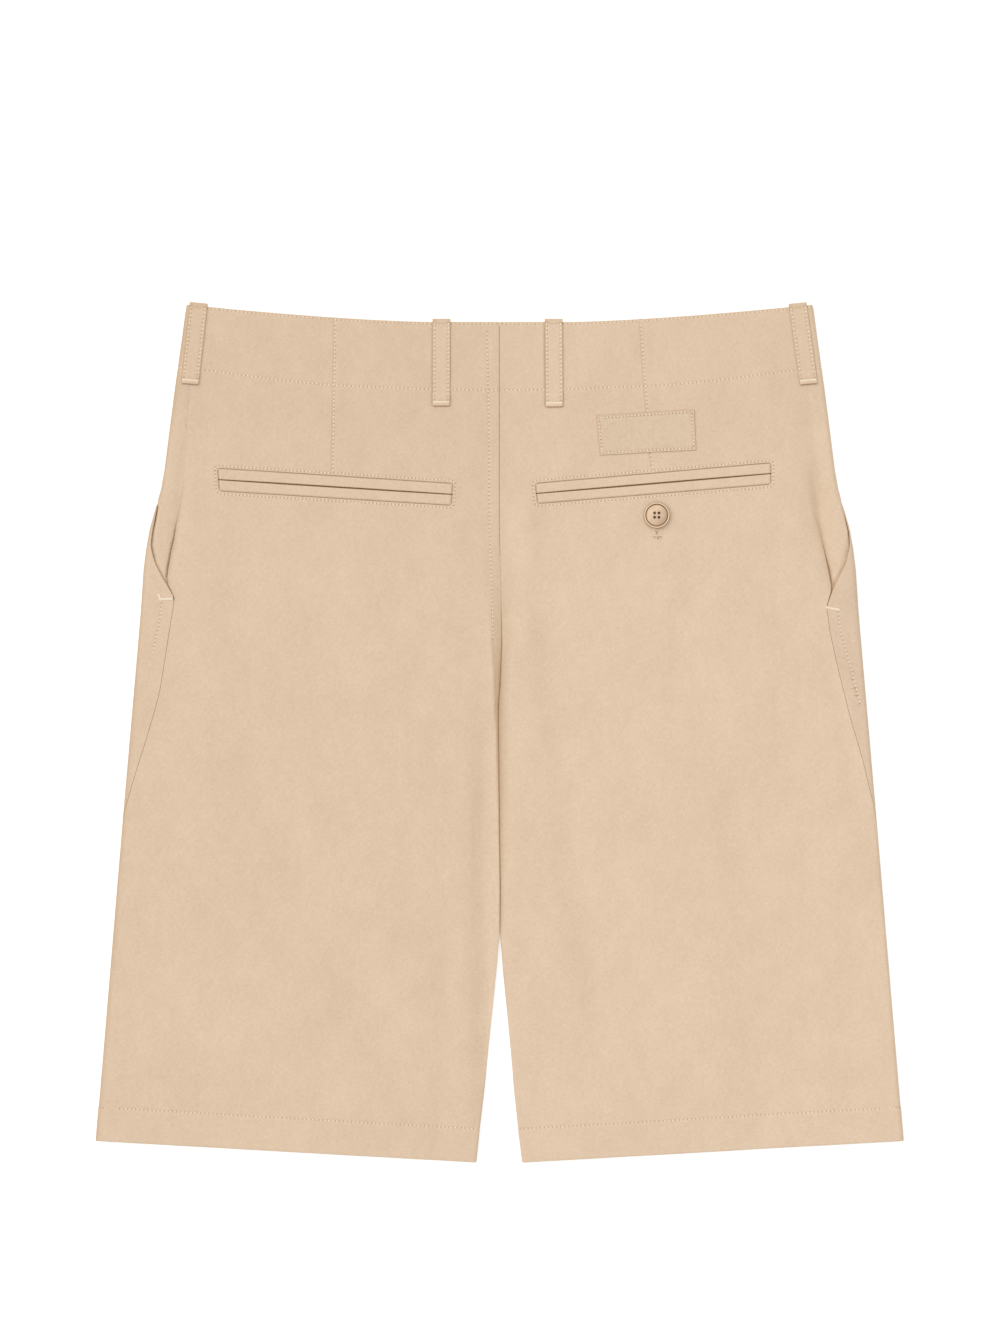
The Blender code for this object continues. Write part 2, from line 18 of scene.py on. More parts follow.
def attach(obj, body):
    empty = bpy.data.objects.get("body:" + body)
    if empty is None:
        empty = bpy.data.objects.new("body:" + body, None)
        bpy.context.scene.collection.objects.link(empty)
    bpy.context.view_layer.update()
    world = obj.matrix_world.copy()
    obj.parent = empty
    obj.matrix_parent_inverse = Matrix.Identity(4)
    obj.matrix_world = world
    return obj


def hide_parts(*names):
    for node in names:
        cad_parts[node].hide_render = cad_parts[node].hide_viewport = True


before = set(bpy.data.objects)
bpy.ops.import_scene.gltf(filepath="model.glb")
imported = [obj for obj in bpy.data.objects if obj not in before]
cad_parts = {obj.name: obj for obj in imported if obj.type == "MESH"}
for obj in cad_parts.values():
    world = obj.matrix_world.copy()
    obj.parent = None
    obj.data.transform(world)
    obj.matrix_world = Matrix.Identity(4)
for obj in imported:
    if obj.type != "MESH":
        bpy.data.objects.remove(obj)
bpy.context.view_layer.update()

# ---------------------------------------------------------------------------------------------- Back panels
# Two panels of fine cotton gabardine. The waistband is cut in one with them and faced inside, the hem is
# turned up twice, and their edges roll into the centre seam and round the inner legs. A dart runs from the
# top edge to each pocket, whose window is cut through.

MM = 0.001
LENGTH = 545.4
TOP_EDGE_Y = 266.45
TOP_START = 0.5
TOP_RISE = 11.2
TOP_RISE_FROM = 45.0
TOP_RISE_TO = 203.0
TOP_RISE_POWER = 1.45
HEM_RISE = 14.0
HEM_RISE_FROM = 15.0
HEM_RISE_TO = 262.0
BAND_DEPTH = 43.0
HEM_DEPTH = 22.0
WALL = 1.0
BAND_WALL = 1.5
HEM_WALL = 1.7
WALL_STEP = 2.5
HEM_PUFF = 0.25
LAYER_GAP = 0.1
SEAM_GAP = 0.06

BAND_HEIGHT = 7.2
HIP_HEIGHT = 6.1
LEG_HEIGHT = 5.1
BAND_SLOPE_END = 78.0
HIP_END = 195.0
LEG_START = 275.0
FRONT_LIFT = 1.5
FRONT_LIFT_START = 57.0
FRONT_LIFT_END = 85.0

SEAM_ROLL = 0.3
ROLL_SHARE = {"left": 0.25, "right": 0.3}
ROLL_START = 165.0
CROTCH = 245.0
ROLL_ANGLE = math.radians(84.0)
FLY_LAP = 8.6
FLY_LENGTH = 140.0
FLY_RETURN = 12.0
LAP_SOFT_END = 175.0
LAP_REACH = 9.2
LAP_FADE = 6.3



def table(columns, *rows):
    """Rows of numbers with named columns."""
    kind = namedtuple("kind", columns)
    return [kind(*row) for row in rows]


OUTLINE = table(
    "level half_width",
    (-12, 203), (18, 207), (44, 210.7), (70, 214.2), (96, 217.5), (109, 219.8), (122, 223.6), (135, 227.2),
    (148, 229.5), (161, 231.1), (187, 232.8), (213, 235), (265, 239.6), (317, 244.1), (395, 250.6),
    (473, 257.1), (531, 262),
)

# Where the halves meet, then the legs part: place across, and half the space between
MIDDLE = table(
    "level x half_gap",
    (0, -0.1, 0.01), (138, -0.1, 0.01), (151, 0.25, 0.01), (168, 0.7, 0.01), (194, 1.2, 0.01),
    (209, 1.35, 0.01), (228, 0.6, 0.01), (236, 0.2, 0.01), (248, -0.8, 0.01), (265, -0.9, 0.01),
    (288, -0.65, 0.01), (314, -0.4, 0.01), (340, -0.1, 0.01), (366, 0.3, 0.01), (398.5, 0.1, 0.02),
    (404, 0.1, 0.7), (409.5, 0.05, 1.2), (421, 0, 2), (447, 0, 4.6), (473, -0.1, 7.2), (499, -0.3, 9.55),
    (525, -0.5, 12.5), (546, -0.3, 14.95),
)

# The front's edge, which is the slanted pocket mouth, and the side seam, as cloth past the side fold
SIDE_LEFT = table(
    "level front seam",
    (-12, -35, 10.9), (41, -24, 11.2), (90, -12, 14), (112, -4, 16.4), (116.5, -1.5, 17), (121, 2.1, 17.5),
    (130, 3.5, 18.1), (139.8, 4.1, 18.9), (145.6, 4.5, 18.6), (156, 8.7, 18.1), (168.4, 16.3, 17.6),
    (178.8, 23.2, 23.2), (191, 22.3, 22.3), (214, 20.5, 20.5), (238, 18.6, 18.6), (252, 16.2, 16.2),
    (274, 11.6, 11.6), (293, 7.4, 7.4), (308, 4.2, 4.2), (318, 2, 2), (345, 0, 0), (546, 0, 0),
)
SIDE_RIGHT = table(
    "level front seam",
    (-12, -35, 11.6), (41, -24, 11.3), (77, -15, 16.2), (108, -4, 20.5), (116, -1, 21.2), (125, 0.4, 22),
    (136, 1.6, 21.4), (144.6, 3.2, 21), (157, 8.2, 19.9), (173, 17.3, 18.3), (184.3, 22.6, 22.6),
    (203, 21.4, 21.4), (228, 17.7, 17.7), (256, 13, 13), (286, 6.9, 6.9), (303, 4.4, 4.4), (318, 2, 2),
    (345, 0, 0), (546, 0, 0),
)

# Soft folds: straight ridges (height over 0) and troughs (under 0) that fade out towards both ends
FOLD_FADE = 0.3
FOLDS = table(
    "x_start level_start x_end level_end half_width height",
    (-193, 235, -40, 520, 17, -2.6), (-9, 215, -8.5, 562, 7.6, -3.6), (-32, 360, -40, 570, 7, -1.2),
    (22, 150, 74, 520, 11, -2), (41, 150, 93, 520, 24, -1.3), (152, 250, 172, 590, 14, -1.5),
    (176, 250, 196, 590, 26, -1), (128, 130, 122, 260, 13, -1), (201, 30, 212, 170, 7.5, -1.7),
    (204, 90, 219, 190, 4.5, -2.2), (210, 200, 237, 330, 6.5, -1.6), (43, 20, 43, 130, 12, 1.4),
    (17.5, 95, 18.5, 230, 7, 1.2), (-201, 60, -214.5, 182, 4, -1.1),
)

# Cloth never lies quite even: long low waves of several lengths cross each other
RIPPLE_HEIGHT = 0.06
RIPPLE_LENGTHS = (27.0, 33.0, 41.0, 52.0, 68.0, 90.0)
ripple_draw = np.random.default_rng(7)
RIPPLE_TURNS = ripple_draw.uniform(0.0, math.tau, (len(RIPPLE_LENGTHS), 2))

Spot = namedtuple("Spot", "x level")
Outlined = namedtuple("Outlined", "top_left top_right bottom_right bottom_left")


def spots_at(*places):
    return [Spot(*place) for place in places]


WINDOWS = {
    "left": Outlined(*spots_at((-183.0, 95.1), (-30.0, 105.0), (-31.2, 119.5), (-181.8, 110.2))),
    "right": Outlined(*spots_at((22.9, 105.0), (176.0, 91.6), (176.0, 105.8), (24.4, 118.4))),
}
WINDOW_CORNER = 2.2


def ease(value, start, end):
    """0 before start and 1 after end, with a smooth step between."""
    t = np.clip((value - start) / (end - start), 0.0, 1.0)
    return t * t * (3 - 2 * t)


def mix(a, b, t):
    return a + (b - a) * t


def lookup(rows, column, places):
    """Values of a table's column, straight between its rows, at these places in its first column."""
    return np.interp(places, [row[0] for row in rows], [getattr(row, column) for row in rows])


def top_rise(x):
    share = np.clip((np.abs(x) - TOP_RISE_FROM) / (TOP_RISE_TO - TOP_RISE_FROM), 0, 1)
    return TOP_RISE * share**TOP_RISE_POWER


def hem_rise(x):
    return HEM_RISE * np.clip((np.abs(x) - HEM_RISE_FROM) / (HEM_RISE_TO - HEM_RISE_FROM), 0, 1)


def level_at(x, drop):
    return drop - mix(top_rise(x), hem_rise(x), drop / LENGTH)


def drop_at(x, level):
    return (level + top_rise(x)) / (1 + (top_rise(x) - hem_rise(x)) / LENGTH)


def wall_at(drop):
    """Thickness of a panel: the band is faced and the hem turned up."""
    wall = mix(BAND_WALL, WALL, ease(drop, BAND_DEPTH, BAND_DEPTH + WALL_STEP))
    return mix(wall, HEM_WALL, ease(drop, LENGTH - HEM_DEPTH - WALL_STEP, LENGTH - HEM_DEPTH))


def to_run(x, level, start, end):
    """Where these spots lie beside a straight run: the share of it passed, and how far off they are across
    and down."""
    run_x = end[0] - start[0]
    run_level = end[1] - start[1]
    share = ((x - start[0]) * run_x + (level - start[1]) * run_level) / (run_x**2 + run_level**2)
    share = np.clip(share, 0.0, 1.0)
    return share, x - start[0] - run_x * share, level - start[1] - run_level * share


def fold_height(x, level):
    """Sum of the soft folds and the waves."""
    total = 0.0
    for fold in FOLDS:
        share, away_x, away_level = to_run(x, level, fold[:2], fold[2:4])
        away = np.hypot(away_x, away_level)
        ends = ease(share, 0.0, FOLD_FADE) * ease(1 - share, 0.0, FOLD_FADE)
        total = total + fold.height * np.exp(-((away / fold.half_width) ** 2)) * ends
    for length, (heading, start) in zip(RIPPLE_LENGTHS, RIPPLE_TURNS):
        along = x * math.cos(heading) + level * math.sin(heading)
        total = total + RIPPLE_HEIGHT * np.sin(math.tau * along / length + start)
    return total


def back_height(x, level):
    """Height of the back's outer face over the table."""
    drop = drop_at(x, level)
    height = mix(BAND_HEIGHT, HIP_HEIGHT, ease(drop, BAND_DEPTH, BAND_SLOPE_END))
    height = mix(height, LEG_HEIGHT, ease(drop, HIP_END, LEG_START))
    return height + fold_height(x, level)


def front_lift(drop):
    """Height of the front's outer face over the table: its band lies on the front belt loops."""
    return FRONT_LIFT * (1 - ease(drop, FRONT_LIFT_START, FRONT_LIFT_END))


class Half:
    """One half of the garment, a flat tube of cloth: side is -1 on the left and 1 on the right."""

    def __init__(self, word, side, table):
        self.word = word
        self.side = side
        self.table = table

    def fold(self, drop):
        """The side fold: its place, half the garment's height there, and where the cloth of the fold lies
        when it is let down flat."""
        out = np.full_like(drop, OUTLINE[0].half_width)
        for _ in range(3):
            level = level_at(out, drop)
            out = lookup(OUTLINE, "half_width", level)
        top = back_height(self.side * (out - LEG_HEIGHT / 2), level)
        radius = (top - front_lift(drop)) / 2
        return out, radius, out + (math.pi / 2 - 1) * radius

    def past_fold(self, drop, column):
        """How far the front's edge or the side seam lies past the side fold, over the top."""
        level = level_at(self.fold(drop)[0], drop)
        front = lookup(self.table, "front", level)
        if column == "front":
            return front
        return np.maximum(lookup(self.table, "seam", level), front + SEAM_GAP)

    def inner(self, drop, over):
        """The inner edge, where it starts to roll down, and the radius of that roll."""
        level = level_at(0.0, drop)
        edge = lookup(MIDDLE, "half_gap", level) + self.side * lookup(MIDDLE, "x", level)
        if self.side < 0:
            lap = 1 - ease(drop, FLY_LENGTH, FLY_LENGTH + FLY_RETURN)
            edge = np.where(over, edge, mix(edge, -FLY_LAP, lap))
        top = back_height(self.side * (edge + LEG_HEIGHT / 2), level_at(edge, drop))
        share = ROLL_SHARE[self.word]
        roll = (top - front_lift(drop)) * np.where(over, share, 1 - share)
        radius = mix(SEAM_ROLL, roll, ease(drop, ROLL_START, CROTCH))
        return edge, edge + radius * math.sin(ROLL_ANGLE), radius

    def unrolled_inner(self, drop, over):
        """The inner edge when its roll is let down flat."""
        _, start, radius = self.inner(drop, over)
        return start - radius * ROLL_ANGLE

    def skin(self, x, level, depth, over):
        """Points of the cloth as rows of x, y and z. over says whether x and level are measured on the back
        or on the front, and depth is how far under the outer face a point lies."""
        out = self.side * x
        drop = drop_at(x, level)
        fold, radius, unrolled = self.fold(drop)
        wrap = unrolled - out if over else out - unrolled
        quarter = math.pi / 2 * radius
        flat_out = fold - radius - np.maximum(np.abs(wrap) - quarter, 0.0)
        flat_level = level_at(flat_out, drop)
        _, start, roll_radius = self.inner(drop, wrap > 0)
        roll = np.clip((start - flat_out) / roll_radius, 0.0, ROLL_ANGLE)
        rolled_out = np.maximum(flat_out, start) - (roll_radius - depth) * np.sin(roll)
        fall = roll_radius - (roll_radius - depth) * np.cos(roll)
        lift = front_lift(drop)
        if self.side > 0:
            lap = ease(LAP_REACH + LAP_FADE - flat_out, 0.0, LAP_FADE)
            lap = lap * (1 - ease(drop, FLY_LENGTH + FLY_RETURN, LAP_SOFT_END)) * (BAND_WALL + LAYER_GAP)
            under = lift + lap + fall
        else:
            under = lift + fall
        flat_z = np.where(wrap > 0, back_height(self.side * flat_out, flat_level) - fall, under)
        turn = np.clip(wrap / radius, -math.pi / 2, math.pi / 2)
        turned_out = fold - radius + (radius - depth) * np.cos(turn)
        turned_z = lift + radius + (radius - depth) * np.sin(turn)
        turning = np.abs(wrap) < quarter
        place_out = np.where(turning, turned_out, rolled_out)
        z = np.where(turning, turned_z, flat_z)
        return np.stack([self.side * place_out, TOP_EDGE_Y - flat_level, z], axis=1)


LEFT = Half("left", -1, SIDE_LEFT)
RIGHT = Half("right", 1, SIDE_RIGHT)

# A panel's shape: its half, whether it lies on the back (over), its inner and outer edges in a row, its
# first and last row, its wall, how far it is pressed in, how round its inner and outer edges are, and how
# much shade is painted on it
Cut = namedtuple("Cut", "name half over inner outer top bottom wall sink inner_round outer_round shade")
JOINED = 0.05
PART_START = 393.0
PART_END = 402.0
EDGE_SHADE = {"left": 0.55, "right": 0.0}
EDGE_SHADE_WIDTH = 5.5

# Between these drops the back's edge comes to stand off the pocket's facing, and a soft shadow starts there
OPEN_FROM = {"left": (132.0, 158.0), "right": (140.0, 178.0)}
SOFT_FROM = {"left": (112.0, 145.0), "right": (122.0, 158.0)}
SOFT_END = (186.0, 194.0)
BACK_EDGE_DARK = 0.35
BACK_EDGE_WIDTH = 2.5

# Below the pocket the edges lie close again and are less round
ROUND_LOST = 0.75
BACK_CLOSE = (178.0, 190.0)
HEM_PUFF_BEFORE = 1.0
HEM_PUFF_AFTER = 2.0


def joined_round(drop):
    """The inner edges are sewn together down to where the legs part, and free and round below."""
    return mix(JOINED, 1.0, ease(drop, PART_START, PART_END))


def edge_shade(half, drop, out):
    """How much shade is painted on the cloth where it turns down at the side fold."""
    wrap = np.abs(half.fold(drop)[2] - out)
    return EDGE_SHADE[half.word] * (1 - ease(wrap, 0.0, EDGE_SHADE_WIDTH))


# Painted soft shade beside the middle: how strong it is and how far it reaches, for each half
MIDDLE_DARK = table(
    "drop left left_width right right_width",
    (0, 0, 12, 0.07, 26), (60, 0, 14, 0.06, 14), (120, 0, 16, 0.05, 9), (150, 0.07, 16, 0.08, 9),
    (168, 0.1, 12, 0.14, 12), (182, 0.17, 10, 0.2, 10), (208, 0.28, 8.6, 0.2, 9),
    (228, 0.46, 5.6, 0.5, 7.5), (240, 0.5, 4.6, 0.62, 6), (250, 0.52, 3.2, 0.68, 6.5),
    (265, 0.5, 2.2, 0.68, 6.5), (290, 0.4, 1.5, 0.64, 6.3), (314, 0.3, 1.3, 0.62, 6),
    (340, 0.2, 1.2, 0.58, 5), (366, 0.2, 1.2, 0.5, 4.2), (388, 0.2, 1.2, 0.5, 4.2), (403, 0, 2, 0.08, 3),
    (546, 0, 2, 0.08, 3),
)
BAND_TONE = 0.06
BAND_TONE_END = 190.0
SEAM_SHADE = 0.9
SEAM_SHADE_FROM = (0.3, 0.9)
SEAM_SHADE_END = (390.0, 400.0)
BESIDE_POWER = 1.6
BESIDE_FADE = 0.6


def back_cut(half):
    def inner(drop):
        return half.unrolled_inner(drop, True)

    def outer(drop):
        return half.fold(drop)[2] - half.past_fold(drop, "seam")

    def hem_puff(drop, out):
        hem = LENGTH - HEM_DEPTH
        return -HEM_PUFF * ease(drop, hem - HEM_PUFF_BEFORE, hem + HEM_PUFF_AFTER)

    def outer_round(drop):
        is_open = ease(drop, *OPEN_FROM[half.word])
        return mix(JOINED, 1.0, is_open) * (1 - ROUND_LOST * ease(drop, *BACK_CLOSE))

    def shade(drop, out):
        """Painted shade: the dark line of the centre seam, soft darkness beside it, by the pocket and at the
        side fold; and the band drawn slightly darker."""
        edge, start, radius = half.inner(drop, True)
        rolled = ease((start - out) / (radius * ROLL_ANGLE), *SEAM_SHADE_FROM)
        rolled = rolled * (1 - ease(drop, *SEAM_SHADE_END))
        width = lookup(MIDDLE_DARK, half.word + "_width", drop)
        away = np.clip((out - edge) / width, 0.0, 1.0)
        beside = (1 - away) ** BESIDE_POWER if half is RIGHT else 1 - ease(away, BESIDE_FADE, 1.0)
        beside = lookup(MIDDLE_DARK, half.word, drop) * beside
        near = 1 - np.clip((outer(drop) - out) / BACK_EDGE_WIDTH, 0.0, 1.0)
        by_pocket = BACK_EDGE_DARK * near**2 * ease(drop, *SOFT_FROM[half.word]) * (1 - ease(drop, *SOFT_END))
        shaded = np.maximum.reduce([SEAM_SHADE * rolled, beside, by_pocket, edge_shade(half, drop, out)])
        return shaded + BAND_TONE * (1 - ease(drop, BAND_DEPTH, BAND_TONE_END))

    return Cut(
        f"back_{half.word}", half, True, inner, outer, TOP_START, LENGTH, wall_at, hem_puff, joined_round,
        outer_round, shade,
    )


# Sewing that marks the cloth. A seam is a narrow groove with the cloth raised along one side of it, where
# the turnings lie. A row of stitches is a shallow groove with a needle hole at each end of a stitch, and the
# thread of a fine row is sunk in it.
# Painted shade darkens the grooves of the seams and the needle holes
Row = namedtuple("Row", "points pitch sunk", defaults=(0.0,))
Seam = namedtuple("Seam", "points depth half_width ridge ridge_width", defaults=(0.0, 3.0))
STITCH = 2.65
RING_STITCH = 2.4
RIDGE_EDGE = 1.4
ROW_DEPTH = 0.14
ROW_HALF_WIDTH = 0.55
HOLE_DEPTH = 0.3
HOLE_HALF_WIDTH = 0.46
HOLE_SHADE = 0.85
FULL_SHADE_DEPTH = 0.9

EDGE_ROW = 1.8
SPOT_SPACING = 9.0
WAIST_ROW = spots_at(
    (-190.5, 31.9), (-141.7, 38.4), (-107.9, 41.6), (-44.9, 44.2), (-1.2, 44.9),
    (0.9, 44.9), (44.9, 44.2), (107.9, 41.6), (141.7, 38.4), (190.5, 31.9),
)
CENTRE_ROW = spots_at((-8.1, 7.0), (-6.9, 72.0), (-6.5, 132.0), (-4.6, 190.0), (-4.2, 206.0))
CENTRE_TURNING = Seam(spots_at((-0.6, 230.0), (-0.4, 132.0), (-0.3, 0.0)), 0.0, 0.4, 0.3, 6.6)
LEG_CREASE = Seam(spots_at((-4.3, 205.0), (-3.6, 222.0), (-2.4, 238.0)), 0.3, 0.6)
DARTS = {
    "left": spots_at((-107.3, -3.2), (-109.1, 97.0)),
    "right": spots_at((90.3, -2.0), (93.3, 40.0), (94.8, 58.0), (96.9, 86.0), (98.2, 95.0)),
}
DART_ROW_GAP = 1.0
FINE_ROW = 0.24
WAIST_SUNK = 0.08
ROW_MARGIN = 2.0

# Along the left edge of each back belt loop the cloth dips a little and shade is painted in a line: its upper
# and lower place, its lower end and its depth
LOOP_LINES = {
    "left": ((-37.7, -37.9, 54.8, 0.2), (-195.0, -200.6, 41.5, 0.1)),
    "right": ((34.95, 35.35, 55.3, 0.3), (193.0, 200.2, 41.0, 0.1)),
}
LOOP_LINE_AWAY = 6.0
LOOP_LINE_TOP = 2.0
BUTTONHOLE_X = 102.3
# The buttonhole's slit and small pits among its stitches: shallow grooves with painted shade
BUTTONHOLE_SLIT = Seam(spots_at((BUTTONHOLE_X, 126.0), (BUTTONHOLE_X, 140.6)), 0.14, 0.4)
BUTTONHOLE_SPECKS = spots_at((100.2, 139.8), (102.7, 140.2), (104.1, 139.9), (101.9, 136.8))
RING_GAP = 1.6


def spots_on(half, outs, drops):
    return [Spot(half.side * out, float(level_at(out, drop))) for out, drop in zip(outs, drops)]


def row_along(cut, drop, margin):
    """Spots along one row of a panel, ending a margin from its edges."""
    drops = np.array([drop])
    start = cut.inner(drops)[0] + margin
    end = cut.outer(drops)[0] - margin
    outs = np.linspace(start, end, max(2, round((end - start) / SPOT_SPACING)))
    return spots_on(cut.half, outs, np.full(outs.shape, drop))


def outline_of(shape, grow, corner, corner_steps=4):
    """Outline of a four-cornered shape, grown on all sides and with round corners, as rows of x and level."""
    corners = [np.array(spot) for spot in shape]
    middle = sum(corners) / 4
    grown = [spot + np.sign(spot - middle) * grow for spot in corners]
    points = []
    for before, here, after in zip(grown[-1:] + grown[:-1], grown, grown[1:] + grown[:1]):
        start = here + corner * (before - here) / np.linalg.norm(before - here)
        end = here + corner * (after - here) / np.linalg.norm(after - here)
        for step in range(corner_steps + 1):
            t = step / corner_steps
            points.append(mix(mix(start, here, t), mix(here, end, t), t))
    return np.array(points)


def closed(points):
    return [Spot(*point) for point in (*points, points[0])]


def walk(points, pitch):
    """Spots about a pitch apart along a line, from its first to its last spot."""
    line = np.array([(spot.x, spot.level) for spot in points])
    lengths = np.concatenate([[0.0], np.cumsum(np.linalg.norm(np.diff(line, axis=0), axis=1))])
    places = np.linspace(0.0, lengths[-1], max(1, round(lengths[-1] / pitch)) + 1)
    return np.stack([np.interp(places, lengths, line[:, 0]), np.interp(places, lengths, line[:, 1])], axis=1)


def distance(x, level, points):
    """Distance to a line of spots, and the side of it: 1 is towards greater x where the line runs down the
    garment."""
    nearest = np.full(x.shape, 1e9)
    side = np.zeros(x.shape)
    for start, end in zip(points, points[1:]):
        _, away_x, away_level = to_run(x, level, start, end)
        away = np.hypot(away_x, away_level)
        closer = away < nearest
        nearest = np.where(closer, away, nearest)
        turn = (end[1] - start[1]) * away_x - (end[0] - start[0]) * away_level
        side = np.where(closer, np.sign(turn), side)
    return nearest, side


def relief(x, level, sewing):
    """How deep the sewing presses the cloth at these spots, and how much shade is painted there."""
    depth = np.zeros(x.shape)
    painted_shade = np.zeros(x.shape)
    for line in sewing:
        away, side = distance(x, level, line.points)
        if isinstance(line, Seam):
            groove = np.exp(-((away / line.half_width) ** 2))
            raised = (1 - ease(away, line.ridge_width - RIDGE_EDGE, line.ridge_width)) * (side > 0)
            depth += line.depth * groove - line.ridge * raised * ease(away, 0.0, 2 * line.half_width)
            painted_shade = np.maximum(painted_shade, groove * line.depth / FULL_SHADE_DEPTH)
        else:
            depth += ROW_DEPTH * np.exp(-((away / ROW_HALF_WIDTH) ** 2))
            close = np.flatnonzero(away < 3 * HOLE_HALF_WIDTH)
            for hole_x, hole_level in walk(line.points, line.pitch):
                reach = np.hypot(x[close] - hole_x, level[close] - hole_level) / HOLE_HALF_WIDTH
                hole = np.exp(-(reach**2))
                depth[close] += HOLE_DEPTH * hole
                painted_shade[close] = np.maximum(painted_shade[close], HOLE_SHADE * hole)
    return depth, painted_shade


GRID_SPACING = 4.2
EDGE_STEPS = (0.0, 0.12, 0.35, 0.75, 1.5, 2.6)
EDGE_STRIP = 4.0
FINE_STEPS = ((9.0, 2.4), (3.4, 1.3), (1.5, 0.7))
CURVED_STRIP = 7.0
CURVED_SIZE = 1.4
CLOTH_SHARP = math.radians(60.0)
NEAR_WINDOW = 12.0
RIM_SHARE = 0.92
THINNEST = 0.05


def spaced(start, end, count):
    """Values from start to end, close together at both ends."""
    first = [start + step for step in EDGE_STEPS]
    middle = [mix(start + EDGE_STRIP, end - EDGE_STRIP, i / count) for i in range(count + 1)]
    last = [end - step for step in reversed(EDGE_STEPS)]
    return np.array(first + middle + last)


def centres(bm):
    places = np.array([face.calc_center_median()[:2] for face in bm.faces])
    return places[:, 0], -places[:, 1]


def refine(bm, is_near, size):
    """Divides the faces of a flat panel that are larger than size, where is_near says so."""
    for _ in range(3):
        large = np.array([face.calc_area() > size * size for face in bm.faces])
        chosen = large & is_near(*centres(bm))
        edges = {edge for face, take in zip(bm.faces, chosen) if take for edge in face.edges}
        edges = [edge for edge in edges if edge.calc_length() > size]
        if not edges:
            return
        bmesh.ops.subdivide_edges(bm, edges=edges, cuts=1, use_grid_fill=True)


def cut_window(bm, outline):
    """Cuts a convex window out of a flat panel."""
    middle = outline.mean(axis=0)
    low = outline.min(axis=0) - NEAR_WINDOW
    high = outline.max(axis=0) + NEAR_WINDOW
    sides = list(zip(outline, np.roll(outline, -1, axis=0)))
    for start, end in sides:
        x, level = centres(bm)
        near_mask = (low[0] < x) & (x < high[0]) & (low[1] < level) & (level < high[1])
        near = [face for face, take in zip(bm.faces, near_mask) if take]
        parts = near + list({edge for face in near for edge in face.edges})
        parts += list({vert for face in near for vert in face.verts})
        normal = (end[1] - start[1], end[0] - start[0], 0)
        bmesh.ops.bisect_plane(bm, geom=parts, dist=1e-4, plane_co=(start[0], -start[1], 0), plane_no=normal)
    x, level = centres(bm)
    inside = np.ones(x.shape, dtype=bool)
    for start, end in sides:
        run = end - start
        middle_side = run[0] * (middle[1] - start[1]) - run[1] * (middle[0] - start[0])
        inside &= (run[0] * (level - start[1]) - run[1] * (x - start[0])) * middle_side > 0
    bmesh.ops.delete(bm, geom=[face for face, take in zip(bm.faces, inside) if take], context="FACES")


def rim(away, wall):
    """How far both faces of a cloth draw in this near its edge, so that the edge is round."""
    near = 1 - np.clip(away / (wall / 2), 0.0, 1.0)
    return wall / 2 * (1 - np.sqrt(1 - near**2)) * RIM_SHARE


def finish_cloth(name, bm, flat, outer, inner, painted_shade, material):
    """Gives a flat mesh its wall and its place. For each vertex, flat is its spot on the cloth in plan, outer
    and inner its places on the two faces, and painted_shade how much shade is painted on its outer face."""
    source_mark = bm.verts.layers.int.new("source")
    for index, vert in enumerate(bm.verts):
        vert[source_mark] = index
    skin = bmesh.ops.extrude_face_region(bm, geom=bm.faces[:], use_keep_orig=True)
    raised = {item for item in skin["geom"] if isinstance(item, bmesh.types.BMVert)}
    source = np.array([vert[source_mark] for vert in bm.verts])
    is_raised = np.array([vert in raised for vert in bm.verts])
    bm.verts.layers.int.remove(source_mark)
    for vert, place in zip(bm.verts, np.where(is_raised[:, None], outer[source], inner[source]) * MM):
        vert.co = place
    bmesh.ops.recalc_face_normals(bm, faces=bm.faces[:])
    if bm.calc_volume(signed=True) < 0:
        bmesh.ops.reverse_faces(bm, faces=bm.faces[:])
    mesh = bpy.data.meshes.new(name)
    bm.to_mesh(mesh)
    bm.free()
    corners = np.zeros(len(mesh.loops), dtype=int)
    mesh.loops.foreach_get("vertex_index", corners)
    grain = mesh.uv_layers.new(name="grain")
    grain.data.foreach_set("uv", (flat[source][corners] * MM).ravel())
    mark = mesh.attributes.new("painted_shade", "FLOAT", "POINT")
    mark.data.foreach_set("value", painted_shade[source] * is_raised)
    mesh.shade_smooth()
    mesh.set_sharp_from_angle(angle=CLOTH_SHARP)
    mesh.materials.append(material)
    return add_piece(name, mesh)


def add_piece(name, mesh):
    """Puts a finished mesh in the scene as a piece of the garment."""
    piece = bpy.data.objects.new(name, mesh)
    bpy.context.collection.objects.link(piece)
    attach(piece, "root")
    return piece


